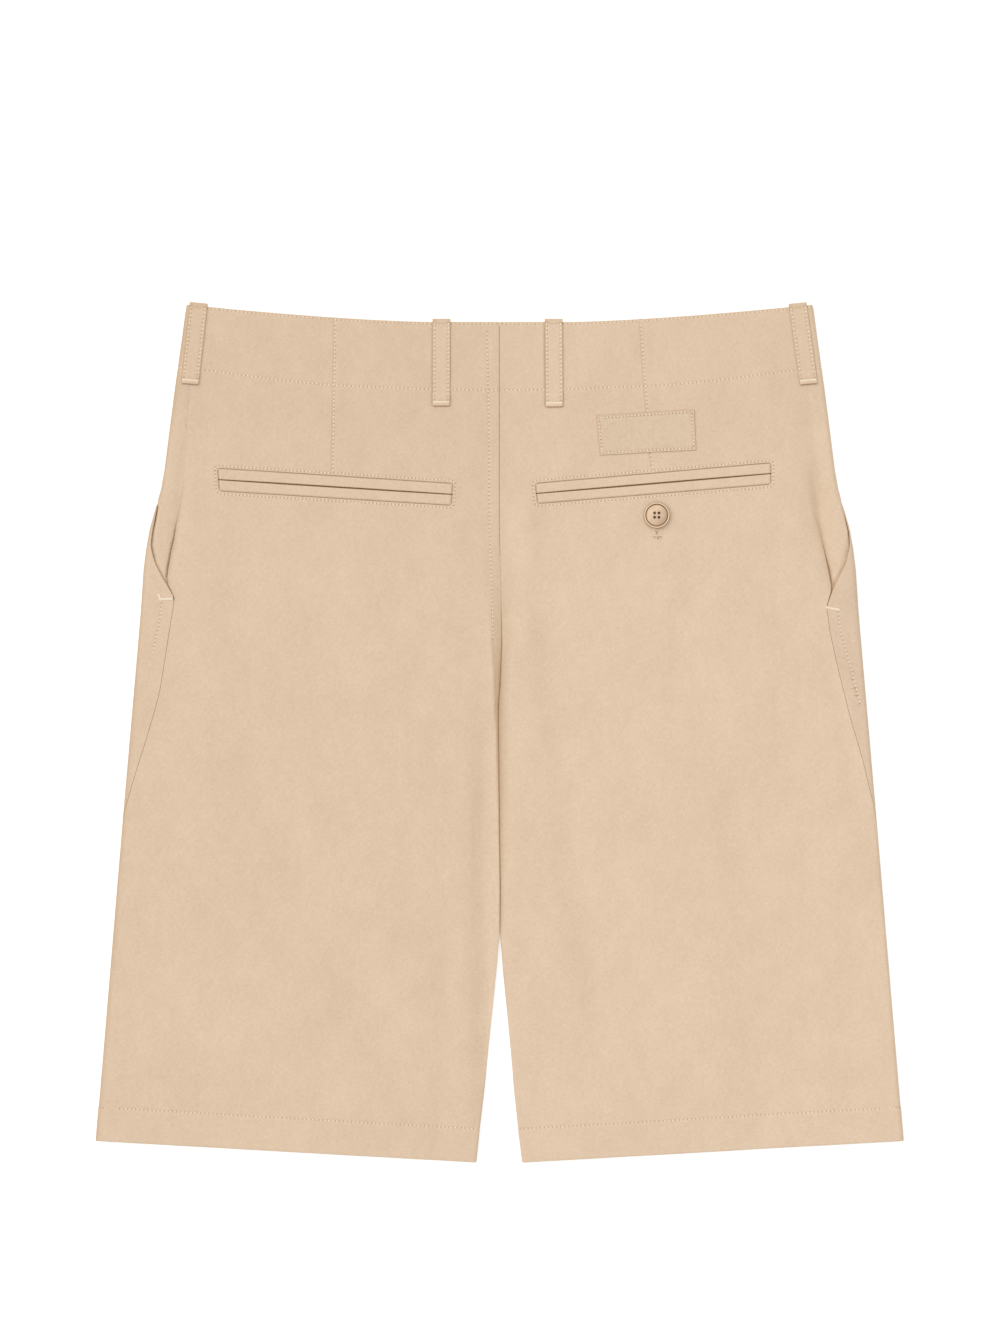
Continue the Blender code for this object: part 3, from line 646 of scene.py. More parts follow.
def make_panel(cut, sewing, windows, material):
    """A shaped panel, marked by its sewing and cut by its windows."""
    bm = bmesh.new()
    drops = spaced(cut.top, cut.bottom, round((cut.bottom - cut.top) / GRID_SPACING))
    starts = cut.inner(drops)
    ends = cut.outer(drops)
    columns = round((ends - starts).mean() / GRID_SPACING)
    outs = np.array([spaced(start, end, columns) for start, end in zip(starts, ends)])
    levels = level_at(outs, drops[:, None])
    row_count, column_count = outs.shape
    bmesh.ops.create_grid(bm, x_segments=column_count - 1, y_segments=row_count - 1, size=0.5)
    for vert in bm.verts:
        row = round((vert.co.y + 0.5) * (row_count - 1))
        column = round((vert.co.x + 0.5) * (column_count - 1))
        vert.co = (cut.half.side * outs[row, column], -levels[row, column], 0)

    def is_curved(x, level):
        out = cut.half.side * x
        drop = drop_at(x, level)
        start = cut.half.inner(drop, cut.over)[1]
        return (np.abs(out - cut.half.fold(drop)[2]) < CURVED_STRIP) | (out < start)

    lines = [line.points for line in sewing] + [closed(window) for window in windows]

    def away_from_sewing(x, level):
        return np.min([distance(x, level, points)[0] for points in lines], axis=0)

    refine(bm, is_curved, CURVED_SIZE)
    for reach, size in FINE_STEPS:
        refine(bm, lambda x, level, reach=reach: away_from_sewing(x, level) < reach, size)
    for window in windows:
        cut_window(bm, window)
    flat = np.array([vert.co[:2] for vert in bm.verts])
    x, level = flat[:, 0], -flat[:, 1]
    out = cut.half.side * x
    drop = drop_at(x, level)
    depth, painted_shade = relief(x, level, sewing)
    painted_shade = np.maximum(painted_shade, cut.shade(drop, out))
    away = np.minimum(drop - cut.top, cut.bottom - drop)
    away = np.minimum(away, (out - cut.inner(drop)) / cut.inner_round(drop))
    away = np.minimum(away, (cut.outer(drop) - out) / cut.outer_round(drop))
    for window in windows:
        away = np.minimum(away, distance(x, level, closed(window))[0])
    wall = cut.wall(drop)
    sink = cut.sink(drop, out)
    drawn = rim(away, wall)
    outer = cut.half.skin(x, level, sink + depth + drawn, cut.over)
    inner_depth = np.maximum(np.maximum(sink, 0.0) + wall - drawn, sink + depth + drawn + THINNEST)
    inner = cut.half.skin(x, level, inner_depth, cut.over)
    return finish_cloth("cloth_" + cut.name, bm, flat, outer, inner, painted_shade, material)


def linear(hex_colour):
    """sRGB hex to linear RGBA."""
    channels = [int(hex_colour[i : i + 2], 16) / 255 for i in (0, 2, 4)]
    return (*[c / 12.92 if c <= 0.04045 else ((c + 0.055) / 1.055) ** 2.4 for c in channels], 1.0)


def node(material, kind, settings=None, inputs=None):
    """Adds a shader node. settings are its own properties, and inputs its sockets by name or number, each
    with a value or another node's output."""
    made = material.node_tree.nodes.new("ShaderNode" + kind)
    for name, value in (settings or {}).items():
        setattr(made, name, value)
    for name, value in (inputs or {}).items():
        if isinstance(value, bpy.types.NodeSocket):
            material.node_tree.links.new(value, made.inputs[name])
        else:
            made.inputs[name].default_value = value
    return made


def new_material(name, values):
    """A material and its shader, with these values on the shader's sockets."""
    material = bpy.data.materials.new(name)
    material.use_nodes = True
    shader = material.node_tree.nodes["Principled BSDF"]
    for socket, value in values.items():
        shader.inputs[socket].default_value = value
    return material, shader


MIX_FACTOR, MIX_A, MIX_B, MIX_COLOUR = 0, 6, 7, 2


def mix_colours(material, factor, first, second):
    inputs = {MIX_FACTOR: factor, MIX_A: first, MIX_B: second}
    return node(material, "Mix", {"data_type": "RGBA"}, inputs).outputs[MIX_COLOUR]


YARN_WIDTH = 0.9  # a real yarn is 0.3 mm wide, drawn coarser so that it shows
YARN_LENGTH = 2.6
YARN_SHARE = 0.36
TWILL_PITCH = 1.3  # a real rib is 0.45 mm, drawn coarser so that it shows
TWILL_TURN = math.radians(27)
WAVE_PERIOD = 0.314  # length of one wave of the wave texture at a scale of 1
CLOUD = 38.0
CLOUD_LENGTH = 1.8
CLOUD_OCTAVES = 5.0
TONE_RANGE = {"From Min": 0.6, "From Max": 1.12}
PAINTED_SHADE_COLOUR = "A27C50"


def gabardine(name, light, dark):
    """Cotton gabardine: a matt, closely woven twill. The eye gets a fine steep rib, slightly uneven yarns,
    faint clouds from the dyeing and a soft sheen at low angles. Painted shade darkens it towards a warm
    brown."""
    values = {"Roughness": 0.88, "Specular IOR Level": 0.25, "Sheen Weight": 0.1, "Sheen Roughness": 0.4}
    material, shader = new_material(name, values)
    grain = node(material, "UVMap", {"uv_map": "grain"}).outputs["UV"]

    def mapped(settings):
        return node(material, "Mapping", None, {"Vector": grain, **settings}).outputs["Vector"]

    def noise(across, along, detail, roughness):
        place = mapped({"Scale": (1 / (across * MM), 1 / (along * MM), 1.0)})
        inputs = {"Vector": place, "Scale": 1.0, "Detail": detail, "Roughness": roughness}
        return node(material, "TexNoise", None, inputs).outputs["Fac"]

    def add(value, share, to):
        return node(material, "Math", {"operation": "MULTIPLY_ADD"}, {0: value, 1: share, 2: to}).outputs[0]

    yarns = add(noise(YARN_WIDTH, YARN_LENGTH, 0.0, 0.5), 1.0, noise(YARN_LENGTH, YARN_WIDTH, 0.0, 0.5))
    tone = add(yarns, YARN_SHARE, noise(CLOUD, CLOUD * CLOUD_LENGTH, CLOUD_OCTAVES, 1.0))
    shown = node(material, "MapRange", None, {"Value": tone, **TONE_RANGE}).outputs["Result"]
    # Painted shade: the cloth colour is mixed towards a dark brown wherever the painted_shade attribute says
    painted_shade = node(material, "Attribute", {"attribute_name": "painted_shade"}).outputs["Fac"]
    cloth = mix_colours(material, shown, linear(dark), linear(light))
    colour = mix_colours(material, painted_shade, cloth, linear(PAINTED_SHADE_COLOUR))
    along_rib = mapped({"Rotation": (0, 0, TWILL_TURN)})
    rib_inputs = {"Vector": along_rib, "Scale": WAVE_PERIOD / (TWILL_PITCH * MM), "Distortion": 1.2}
    rib = node(material, "TexWave", None, rib_inputs).outputs["Fac"]
    weave_inputs = {"Strength": 0.5, "Distance": 0.07 * MM, "Height": add(rib, 0.4, yarns)}
    weave = node(material, "Bump", None, weave_inputs)
    material.node_tree.links.new(colour, shader.inputs["Base Color"])
    material.node_tree.links.new(weave.outputs["Normal"], shader.inputs["Normal"])
    return material


# The twill leans one way on the left half and the other way on the right, which takes the light a little
# more; this is painted as lit and shaded copies of the cloth, the left a little darker. The right front turns
# its cloth across that light where it comes round the side, and is painted a tone darker as shade.
SHELL = {
    "left": gabardine("gabardine_left", "DBC3A9", "CEB59A"),
    "right": gabardine("gabardine_right", "DDC5AB", "D0B79C"),
}
FRONT = {"left": SHELL["left"], "right": gabardine("gabardine_front_right_shaded", "D8C0A7", "CBB298")}


def sewing_of(cut):
    """Rows and seams of a back panel."""
    half = cut.half
    dart = DARTS[half.word]
    ring = closed(outline_of(WINDOWS[half.word], RING_GAP, 1.5 * WINDOW_CORNER))
    rows = [
        Row(row_along(cut, EDGE_ROW, ROW_MARGIN), STITCH, FINE_ROW),
        Row([spot for spot in WAIST_ROW if spot.x * half.side > 0], STITCH, WAIST_SUNK),
        Row(row_along(cut, LENGTH - HEM_DEPTH, ROW_MARGIN), STITCH, FINE_ROW),
        Row([Spot(spot.x + DART_ROW_GAP, spot.level + 1) for spot in dart], STITCH),
        Row(ring, RING_STITCH),
        Seam(dart, 0.25, 0.4, 0.15, 7.0),
    ]
    for x_top, x_bottom, length, depth in LOOP_LINES[half.word]:
        top = Spot(x_top - LOOP_LINE_AWAY, LOOP_LINE_TOP - float(top_rise(x_top)))
        rows.append(Seam((top, Spot(x_bottom - LOOP_LINE_AWAY, length)), depth, 0.5))
    if half is LEFT:
        return rows + [Row(CENTRE_ROW, STITCH), CENTRE_TURNING, LEG_CREASE]
    rows.append(BUTTONHOLE_SLIT)
    for spot in BUTTONHOLE_SPECKS:
        rows.append(Seam((spot, Spot(spot.x, spot.level + 0.5)), 0.8, 0.55))
    return rows


sewn = []
for half in (LEFT, RIGHT):
    cut = back_cut(half)
    sewing = sewing_of(cut)
    sewn.append((cut, sewing))
    window = outline_of(WINDOWS[half.word], 0.0, WINDOW_CORNER)
    piece = make_panel(cut, sewing, [window], SHELL[half.word])
    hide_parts(cut.name)

# --------------------------------------------------------------------------------------------- Front panels
# Two panels of the same gabardine that lie on the table. Each comes round the side fold onto the back, where
# its upper edge is the folded mouth of the side pocket. The left one laps over the right at the fly.

FRONT_TOP = 2.6
FRONT_CLOSE = (174.0, 188.0)
FLY_ROW = spots_at((-26.0, 8.0), (-26.0, 120.0), (-20.0, 136.0), (-6.0, 146.0))
MOUTH_ROWS = {
    "left": spots_at((-219.0, 182.7), (-220.4, 194.4), (-223.0, 206.7), (-225.8, 218.4)),
    "right": spots_at((219.5, 188.5), (221.0, 201.5), (225.8, 218.4), (230.1, 233.4), (233.6, 247.7)),
}


def front_cut(half):
    def inner(drop):
        return half.unrolled_inner(drop, False)

    def outer(drop):
        return half.fold(drop)[2] + half.past_fold(drop, "front")

    def flat(drop, out):
        return np.zeros(out.shape)

    def outer_round(drop):
        return 1 - ROUND_LOST * ease(drop, *FRONT_CLOSE)

    def shade(drop, out):
        return edge_shade(half, drop, out)

    return Cut(
        f"front_{half.word}", half, False, inner, outer, FRONT_TOP, LENGTH, wall_at, flat, joined_round,
        outer_round, shade,
    )


def from_above(half, seen):
    """Spots on the front panel, from where they are seen on the back."""
    x, level = np.array(seen).T
    drop = drop_at(x, level)
    return spots_on(half, 2 * half.fold(drop)[2] - half.side * x, drop)


for half in (LEFT, RIGHT):
    cut = front_cut(half)
    drops = (FRONT_TOP + EDGE_ROW, BAND_DEPTH, LENGTH - HEM_DEPTH)
    sewing = [Row(row_along(cut, drop, ROW_MARGIN), STITCH) for drop in drops]
    sewing.append(Row(from_above(half, MOUTH_ROWS[half.word]), STITCH))
    if half is LEFT:
        sewing.append(Row(FLY_ROW, STITCH))
    sewn.append((cut, sewing))
    piece = make_panel(cut, sewing, [], FRONT[half.word])
    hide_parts(cut.name)

# ------------------------------------------------------------------------------------- Side pocket facings
# The piece behind each slanted side pocket mouth. It fills the side up to the band, is sewn under the back's
# edge, and passes under the front's folded mouth, which gapes a little where the hand goes in.

FACING_WALL = 0.9
FACING_END = 196.0
FACING_TUCK = 4.0
FACING_REACH = 12.0
FACING_COVERED = 0.4
FACING_STEP = 2.4
FACING_ROW = 41.2
FACING_DIP = 0.25
FACING_CLOSE = (176.0, 184.0)
STEP_START = (0.2, -1.4)  # before the seam while it is sewn down, and where it stands open
STEP_END = (1.0, -0.2)
MOUTH_CLEAR = 0.25
GAPE = {"left": 0.6, "right": 0.1}
GAPE_FROM = (128.0, 142.0)
FACING_DARK = {"left": 0.35, "right": 0.42}
FACING_DARK_WIDTH = 3.2
FACING_TONE = {"left": 0.0, "right": 0.065}
FACING_TONE_FROM = 120.0
MOUTH_SHADE = {"left": 0.35, "right": 0.25}
MOUTH_SHADE_FROM = (125.0, 142.0)
MOUTH_SHADE_WIDTH = 1.3
FACING_END_DARK = 0.9
FACING_END_FROM = (158.0, 172.0)


def facing_cut(half):
    def inner(drop):
        return half.fold(drop)[2] - half.past_fold(drop, "seam") - FACING_TUCK

    def outer(drop):
        _, radius, unrolled = half.fold(drop)
        return unrolled - np.minimum(half.past_fold(drop, "front"), -math.pi / 2 * radius) + FACING_REACH

    def wall(drop):
        return np.full(drop.shape, FACING_WALL)

    def sink(drop, out):
        """How deep the facing lies under the front's folded mouth and under the back's edge."""
        wrap = half.fold(drop)[2] - out
        covered = half.past_fold(drop, "front") + FACING_COVERED
        gape = GAPE[half.word] * ease(drop, *GAPE_FROM) * (1 - ease(drop, *FACING_END_FROM))
        under_front = (WALL + MOUTH_CLEAR + gape) * ease(covered + FACING_STEP - wrap, 0.0, FACING_STEP)
        seam = half.past_fold(drop, "seam")
        is_open = ease(drop, *OPEN_FROM[half.word])
        dip = FACING_DIP * is_open * (1 - ease(drop, *FACING_CLOSE))
        step = ease(wrap, seam + mix(*STEP_START, is_open), seam + mix(*STEP_END, is_open))
        return np.maximum(under_front, (wall_at(drop) + LAYER_GAP + dip) * step)

    def free(drop):
        return np.ones(drop.shape)

    def shade(drop, out):
        """Painted shade: soft shadows under the back's edge and the folded mouth and darkness at the side
        fold, with the band slightly darker and, on the right, the facing below it too.
        """
        wrap = half.fold(drop)[2] - out
        mouth = half.past_fold(drop, "front")
        near = 1 - np.clip((half.past_fold(drop, "seam") - wrap) / FACING_DARK_WIDTH, 0.0, 1.0)
        by_back = near**2 * ease(drop, *SOFT_FROM[half.word])
        by_back = by_back * (1 + FACING_END_DARK * ease(drop, *FACING_END_FROM))
        by_front = (1 - ease(wrap, mouth, mouth + MOUTH_SHADE_WIDTH)) * ease(drop, *MOUTH_SHADE_FROM)
        shaded = np.maximum(FACING_DARK[half.word] * by_back, MOUTH_SHADE[half.word] * by_front)
        tone = mix(BAND_TONE, FACING_TONE[half.word], ease(drop, BAND_DEPTH, FACING_TONE_FROM))
        return np.maximum(shaded, edge_shade(half, drop, out)) + tone

    name = f"side_pocket_facing_{half.word}"
    return Cut(name, half, True, inner, outer, TOP_START, FACING_END, wall, sink, free, free, shade)


down = np.linspace(0.0, FACING_END, 32)
for half in (LEFT, RIGHT):
    cut = facing_cut(half)
    sewing = [Row(row_along(cut, drop, ROW_MARGIN), STITCH) for drop in (EDGE_ROW, FACING_ROW)]
    for column in ("front", "seam"):  # seams without depth: they only make the mesh fine there
        places = half.fold(down)[2] - np.maximum(half.past_fold(down, column), -FACING_REACH)
        sewing.append(Seam(spots_on(half, places, down), 0.0, 0.4))
    sewn.append((cut, sewing))
    piece = make_panel(cut, sewing, [], SHELL[half.word])
    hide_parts(cut.name)

# -------------------------------------------------------------------------------------- Back pocket openings
# Double welt pockets: in each window two folded strips of the shell meet at the slit. They come out from
# under the window's edge and swell to the panel's height. A bearer closes the pocket behind them.

WELT_TUCK = 0.8
WELT_EDGE = -1.1
WELT_SWELL = 0.2
WELT_FOLD = 0.55
WELT_UNDERSIDE = -1.5
WELT_STEP = 1.1
WELT_STEP_FROM = -0.4
WELT_THINNEST = 0.3
WELT_DARK = 0.55
WELT_DARK_FROM = (0.1, 0.7)
SLIT_END = 0.1
SLIT_MIDDLE = 0.3
SLIT_POWER = 0.7
SLIT_DARK_WIDTH = 0.45
BEARER_MARGIN = 4.0
BEARER_TOP = -1.6
BEARER_WALL = 0.9
BEARER_DARK_FROM = (2.0, 4.0)
pocketing = gabardine("gabardine_pocket", "DBC3A8", "CEB59A")


def on_back(x, level, height):
    """Points this high over the back's outer face."""
    return np.stack([x, TOP_EDGE_Y - level, back_height(x, level) + height], axis=1)


def size_of(shape):
    return shape.top_right.x - shape.top_left.x, shape.bottom_left.level - shape.top_left.level


def spot_in(shape, across, down):
    """x and level at these shares of a four-cornered shape."""
    left = [mix(shape.top_left[i], shape.bottom_left[i], down) for i in (0, 1)]
    right = [mix(shape.top_right[i], shape.bottom_right[i], down) for i in (0, 1)]
    return mix(left[0], right[0], across), mix(left[1], right[1], across)


def make_grid(across, along):
    """A flat strip with these columns and rows, and the place of each vertex across and along it."""
    bm = bmesh.new()
    last = (len(across) - 1, len(along) - 1)
    bmesh.ops.create_grid(bm, x_segments=last[0], y_segments=last[1], size=0.5)
    cells = [[round((vert.co[i] + 0.5) * last[i]) for i in (0, 1)] for vert in bm.verts]
    return bm, np.array([(across[column], along[row]) for column, row in cells])


def make_welt(word, part):
    window = WINDOWS[word]
    width, depth = size_of(window)
    reach = depth / 2 + WELT_TUCK
    bm, flat = make_grid(np.linspace(-WELT_TUCK, width + WELT_TUCK, 150), np.linspace(0, reach, 19))
    u, v = flat.T
    opening = mix(SLIT_END, SLIT_MIDDLE, np.sin(math.pi * np.clip(u / width, 0, 1)) ** SLIT_POWER)
    inward = v / reach * (reach - opening) - WELT_TUCK
    edge = np.minimum(inward, np.minimum(u, width - u))
    slit = depth / 2 - opening - inward
    height = WELT_EDGE + (WELT_SWELL - WELT_EDGE) * ease(edge, WELT_STEP_FROM, WELT_STEP)
    near = 1 - np.clip(slit / WELT_FOLD, 0, 1)
    height = height - WELT_FOLD * (1 - np.sqrt(1 - near**2)) * RIM_SHARE
    spot = spot_in(window, u / width, inward / depth if part == "upper" else 1 - inward / depth)
    outer = on_back(*spot, height)
    inner = on_back(*spot, np.minimum(height - WELT_THINNEST, WELT_UNDERSIDE))
    # Painted shade where the welt comes out from under the window's edge and along the slit
    painted_shade = np.maximum(WELT_DARK * (1 - ease(edge, *WELT_DARK_FROM)), 1 - ease(slit, 0.0, SLIT_DARK_WIDTH))
    name = f"welt_{word}_{part}"
    welt = finish_cloth("cloth_" + name, bm, flat, outer, inner, painted_shade, SHELL[word])
    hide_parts(name)


def make_bearer(word):
    window = WINDOWS[word]
    width, depth = size_of(window)
    columns = np.linspace(-BEARER_MARGIN, width + BEARER_MARGIN, 60)
    bm, flat = make_grid(columns, np.linspace(-BEARER_MARGIN, depth + BEARER_MARGIN, 12))
    u, v = flat.T
    spot = spot_in(window, u / width, v / depth)
    outer = on_back(*spot, BEARER_TOP)
    inner = on_back(*spot, BEARER_TOP - BEARER_WALL)
    # Painted shade along the bearer's middle, which shows through the slit
    painted_shade = 1 - ease(np.abs(v - depth / 2), *BEARER_DARK_FROM)
    name = f"pocket_bearer_{word}"
    bearer = finish_cloth("cloth_" + name, bm, flat, outer, inner, painted_shade, pocketing)
    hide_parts(name)


for word in WINDOWS:
    make_welt(word, "upper")
    make_welt(word, "lower")
    make_bearer(word)

# ------------------------------------------------------------------------------------------------ Belt loops
# Six folded strips of the shell, stitched along both edges. The lower end is turned under and bar-tacked, and
# the upper end goes over the top edge and down inside. The four on the back stand off it a little.

# A loop's name, its place across at the top and bottom, its length, the face it lies on, a darker tone
# painted on it, and the painted shade along its left and right edges
Loop = namedtuple("Loop", "name x_top x_bottom length face tone left_dark right_dark")
LOOPS = (
    Loop("loop_back_left", -37.7, -37.9, 55.4, "back", 0.0, 0.75, 0.6),
    Loop("loop_back_right", 34.95, 35.35, 56.0, "back", 0.0, 0.9, 0.7),
    Loop("loop_side_left", -195.0, -200.6, 52.0, "back", 0.05, 0.9, 0.15),
    Loop("loop_side_right", 193.0, 200.2, 52.0, "back", 0.04, 0.4, 0.35),
    Loop("loop_front_left", -105.0, -105.0, 54.0, "front", 0.0, 0.7, 0.7),
    Loop("loop_front_right", 105.0, 105.0, 54.0, "front", 0.0, 0.7, 0.7),
)
LOOP_WIDTH = 11.5
LOOP_WALL = 0.75
LOOP_TUCK = 6.0
LOOP_BOW = 0.1
LOOP_TURN = BAND_WALL / 2 + LAYER_GAP + LOOP_WALL
LOOP_CORNER = 1.0
LOOP_ROW_INSET = 1.25
LOOP_ROW_START = 4.2
TURNED_END = 6.5
TURNED_PUFF = 0.6
TURNED_STEP = 2.0
TACK_AT = 2.8
TACK_PRESS = 0.45
TACK_PRESS_WIDTH = 0.9
FRONT_LOOP_SUNK = 0.2
LOOP_ROW_END = 0.8
LOOP_SIDE_WIDTH = 0.45
LOOP_END_WIDTH = 0.6
LOOP_GRID = 0.7
# Painted shade over the turn at the loop's top and in a line just below it
BEND_TONE = 0.2
BEND_STEP = 0.3
BEND_DARK = 0.25
BEND_DARK_AT = 1.6
BEND_DARK_WIDTH = 0.9


def loop_skin(loop, across, along, depth):
    """Points of a belt loop, this far across it and along it from its lower end."""
    on_top = loop.face == "back"
    up = 1.0 if on_top else -1.0
    share = np.clip(along / loop.length, 0.0, 1.0)
    turned = np.clip((along - loop.length) / LOOP_TURN, 0.0, math.pi)
    tucked = np.maximum(along - loop.length - math.pi * LOOP_TURN, 0.0)
    corner = LOOP_CORNER * (1 - np.sqrt(1 - (1 - np.clip(along / LOOP_CORNER, 0.0, 1.0)) ** 2))
    x = mix(loop.x_bottom, loop.x_top, share) + across * (1 - corner / (LOOP_WIDTH / 2))
    drop = loop.length * (1 - share) + (0.0 if on_top else FRONT_TOP)
    level = level_at(x, drop)
    base = back_height(x, level) if on_top else FRONT_LIFT
    bow = LOOP_BOW * np.sin(math.pi * ease(share, 0.04, 1.0)) * on_top
    z = base - up * BAND_WALL / 2 + up * ((LOOP_TURN - depth) * np.cos(turned) + bow)
    past = (LOOP_TURN - depth) * np.sin(turned) - tucked
    return np.stack([x, TOP_EDGE_Y - level + past, z], axis=1)


def loop_rows(loop):
    inset = LOOP_WIDTH / 2 - LOOP_ROW_INSET
    end = loop.length - LOOP_ROW_END
    return [Row([Spot(x, LOOP_ROW_START), Spot(x, end)], STITCH) for x in (-inset, inset)]


def make_loop(loop):
    total = loop.length + math.pi * LOOP_TURN + LOOP_TUCK
    rows = np.linspace(0.0, total, round(total / LOOP_GRID))
    bm, flat = make_grid(spaced(-LOOP_WIDTH / 2, LOOP_WIDTH / 2, 5), rows)
    u, v = flat.T
    to_side = LOOP_WIDTH / 2 - np.abs(u)
    away = np.minimum(to_side, np.minimum(v, total - v))
    drawn = rim(away, LOOP_WALL)
    pressed, holes = relief(u, v, loop_rows(loop))
    depth = pressed + drawn
    if loop.face == "back":
        puff = TURNED_PUFF * (1 - ease(v, TURNED_END, TURNED_END + TURNED_STEP))
        tack = TACK_PRESS * np.exp(-(((v - TACK_AT) / TACK_PRESS_WIDTH) ** 2))
        depth = depth + tack - puff * ease(away, -1.0, 1.0)
    else:
        depth = depth + FRONT_LOOP_SUNK
    outer = loop_skin(loop, u, v, depth)
    inner = loop_skin(loop, u, v, np.maximum(LOOP_WALL - drawn, depth + THINNEST))
    # Painted shade along the loop's sides, at its lower end and at its bend, and the loop's painted darker
    # tone
    sides = np.where(u < 0, loop.left_dark, loop.right_dark) * (1 - ease(to_side, 0.0, LOOP_SIDE_WIDTH))
    ends = 1 - ease(v, 0.0, LOOP_END_WIDTH)
    below = np.exp(-(((loop.length - BEND_DARK_AT - v) / BEND_DARK_WIDTH) ** 2))
    bend = BEND_TONE * ease(v, loop.length - BEND_STEP, loop.length + BEND_STEP) + BEND_DARK * below
    painted_shade = np.maximum(holes, np.maximum(sides, ends)) + loop.tone + bend
    cloth = SHELL["left" if loop.x_top < 0 else "right"]
    piece = finish_cloth("cloth_" + loop.name, bm, flat, outer, inner, painted_shade, cloth)
    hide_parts(loop.name)


for loop in LOOPS:
    make_loop(loop)

# ----------------------------------------------------------------------------------------------- Bare patch
# A plain rectangle of the shell cloth, a little darker, stitched down along its four edges under the band.

PATCH = Outlined(*spots_at((62.6, 61.2), (126.0, 57.3), (127.2, 83.5), (65.0, 86.9)))
PATCH_WALL = 0.55
PATCH_THINNEST = 0.3
PATCH_STITCH = 2.3
PATCH_INSET = 1.5
PATCH_DARK = 0.5
PATCH_DARK_WIDTH = 0.4
PATCH_WIDTH, PATCH_DEPTH = size_of(PATCH)

patch_row = Row(closed(outline_of(PATCH, -PATCH_INSET, 0.4)), PATCH_STITCH)
bm, flat = make_grid(spaced(0.0, PATCH_WIDTH, 70), spaced(0.0, PATCH_DEPTH, 24))
u, v = flat.T
away = np.minimum(np.minimum(u, PATCH_WIDTH - u), np.minimum(v, PATCH_DEPTH - v))
drawn = rim(away, PATCH_WALL)
x, level = spot_in(PATCH, u / PATCH_WIDTH, v / PATCH_DEPTH)
pressed, holes = relief(x, level, [patch_row])
outer = on_back(x, level, LAYER_GAP + PATCH_WALL - pressed - drawn)
inner = on_back(x, level, np.minimum(LAYER_GAP + drawn, PATCH_THINNEST))
# Painted shade at the patch's edges, besides the needle holes
painted_shade = np.maximum(holes, PATCH_DARK * (1 - ease(away, 0.0, PATCH_DARK_WIDTH)))
cloth = gabardine("gabardine_patch", "D8C2A7", "CBB398")
patch = finish_cloth("cloth_label_patch", bm, flat, outer, inner, painted_shade, cloth)
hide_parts("label_patch")

# --------------------------------------------------------------------------------------------------- Button
# Button turned from horn-like resin, with a raised rim, a groove inside it, a dished middle and four holes.

BUTTON = Spot(101.7, 125.8)
BUTTON_SEAT = 0.4
BUTTON_SEGMENTS = 64
BUTTON_PROFILE = table(
    "radius height",
    (0, 0), (5.8, 0), (7.6, 0.35), (8.35, 0.95), (8.5, 1.5), (8.35, 2.1), (7.95, 2.45), (7.5, 2.35),
    (7.3, 1.9), (7.1, 1.5), (6.8, 1.6), (6.3, 1.8), (5.6, 1.98), (4.2, 2.12),
)
HOLE_RADIUS = 0.95
HOLE_SPREAD = 1.4
HOLE_SEGMENTS = 16
HOLE_BOTTOM = 0.5
HOLE_BEVEL = 0.14
BUTTON_SHARP = math.radians(50.0)

# Painted shade on it: dark lines in the groove inside the rim, in the holes and at the outer edge, and soft
# darkness towards one side of the dish where the light falls less
GROOVE_RADIUS = 7.05
GROOVE_WIDTH = 0.4
GROOVE_ABOVE = 1.0
HOLE_DARK_BELOW = 0.3
HOLE_DARK_WITHIN = 4.0
EDGE_DARK = 0.75
EDGE_DARK_FROM = (8.12, 8.4)
SIDE_DARK = 0.3
SIDE_DARK_RADIUS = 7.1
SIDE_DARK_HEADING = (0.8, -0.6)
SIDE_DARK_FROM = (-4.0, 6.0)
# A painted highlight makes the rim paler
RIM_FROM = (7.25, 7.45)


def horn_resin():
    """Cast polyester made to look like horn, turned and tumbled. The eye gets a warm tan with faint clouds
    and a broad soft shine; the rim gets a painted highlight, and the groove, holes, edge and one side painted
    shade."""
    material, shader = new_material("horn_resin", {"Roughness": 0.38, "IOR": 1.54})
    place = node(material, "TexCoord").outputs["Object"]
    clouds = node(material, "TexNoise", None, {"Vector": place, "Scale": 1 / (4.5 * MM), "Detail": 3.0})
    tone_inputs = {"Value": clouds.outputs["Fac"], "From Min": 0.3, "From Max": 0.7}
    tone = node(material, "MapRange", None, tone_inputs).outputs["Result"]
    colour = mix_colours(material, tone, linear("CFAE8D"), linear("DFC1A1"))
    # Painted highlight on the rim, then painted shade
    for mark, shown in (("rim", "F0D6B0"), ("painted_shade", "6E4C2E")):
        share = node(material, "Attribute", {"attribute_name": mark}).outputs["Fac"]
        colour = mix_colours(material, share, colour, linear(shown))
    material.node_tree.links.new(colour, shader.inputs["Base Color"])
    return material


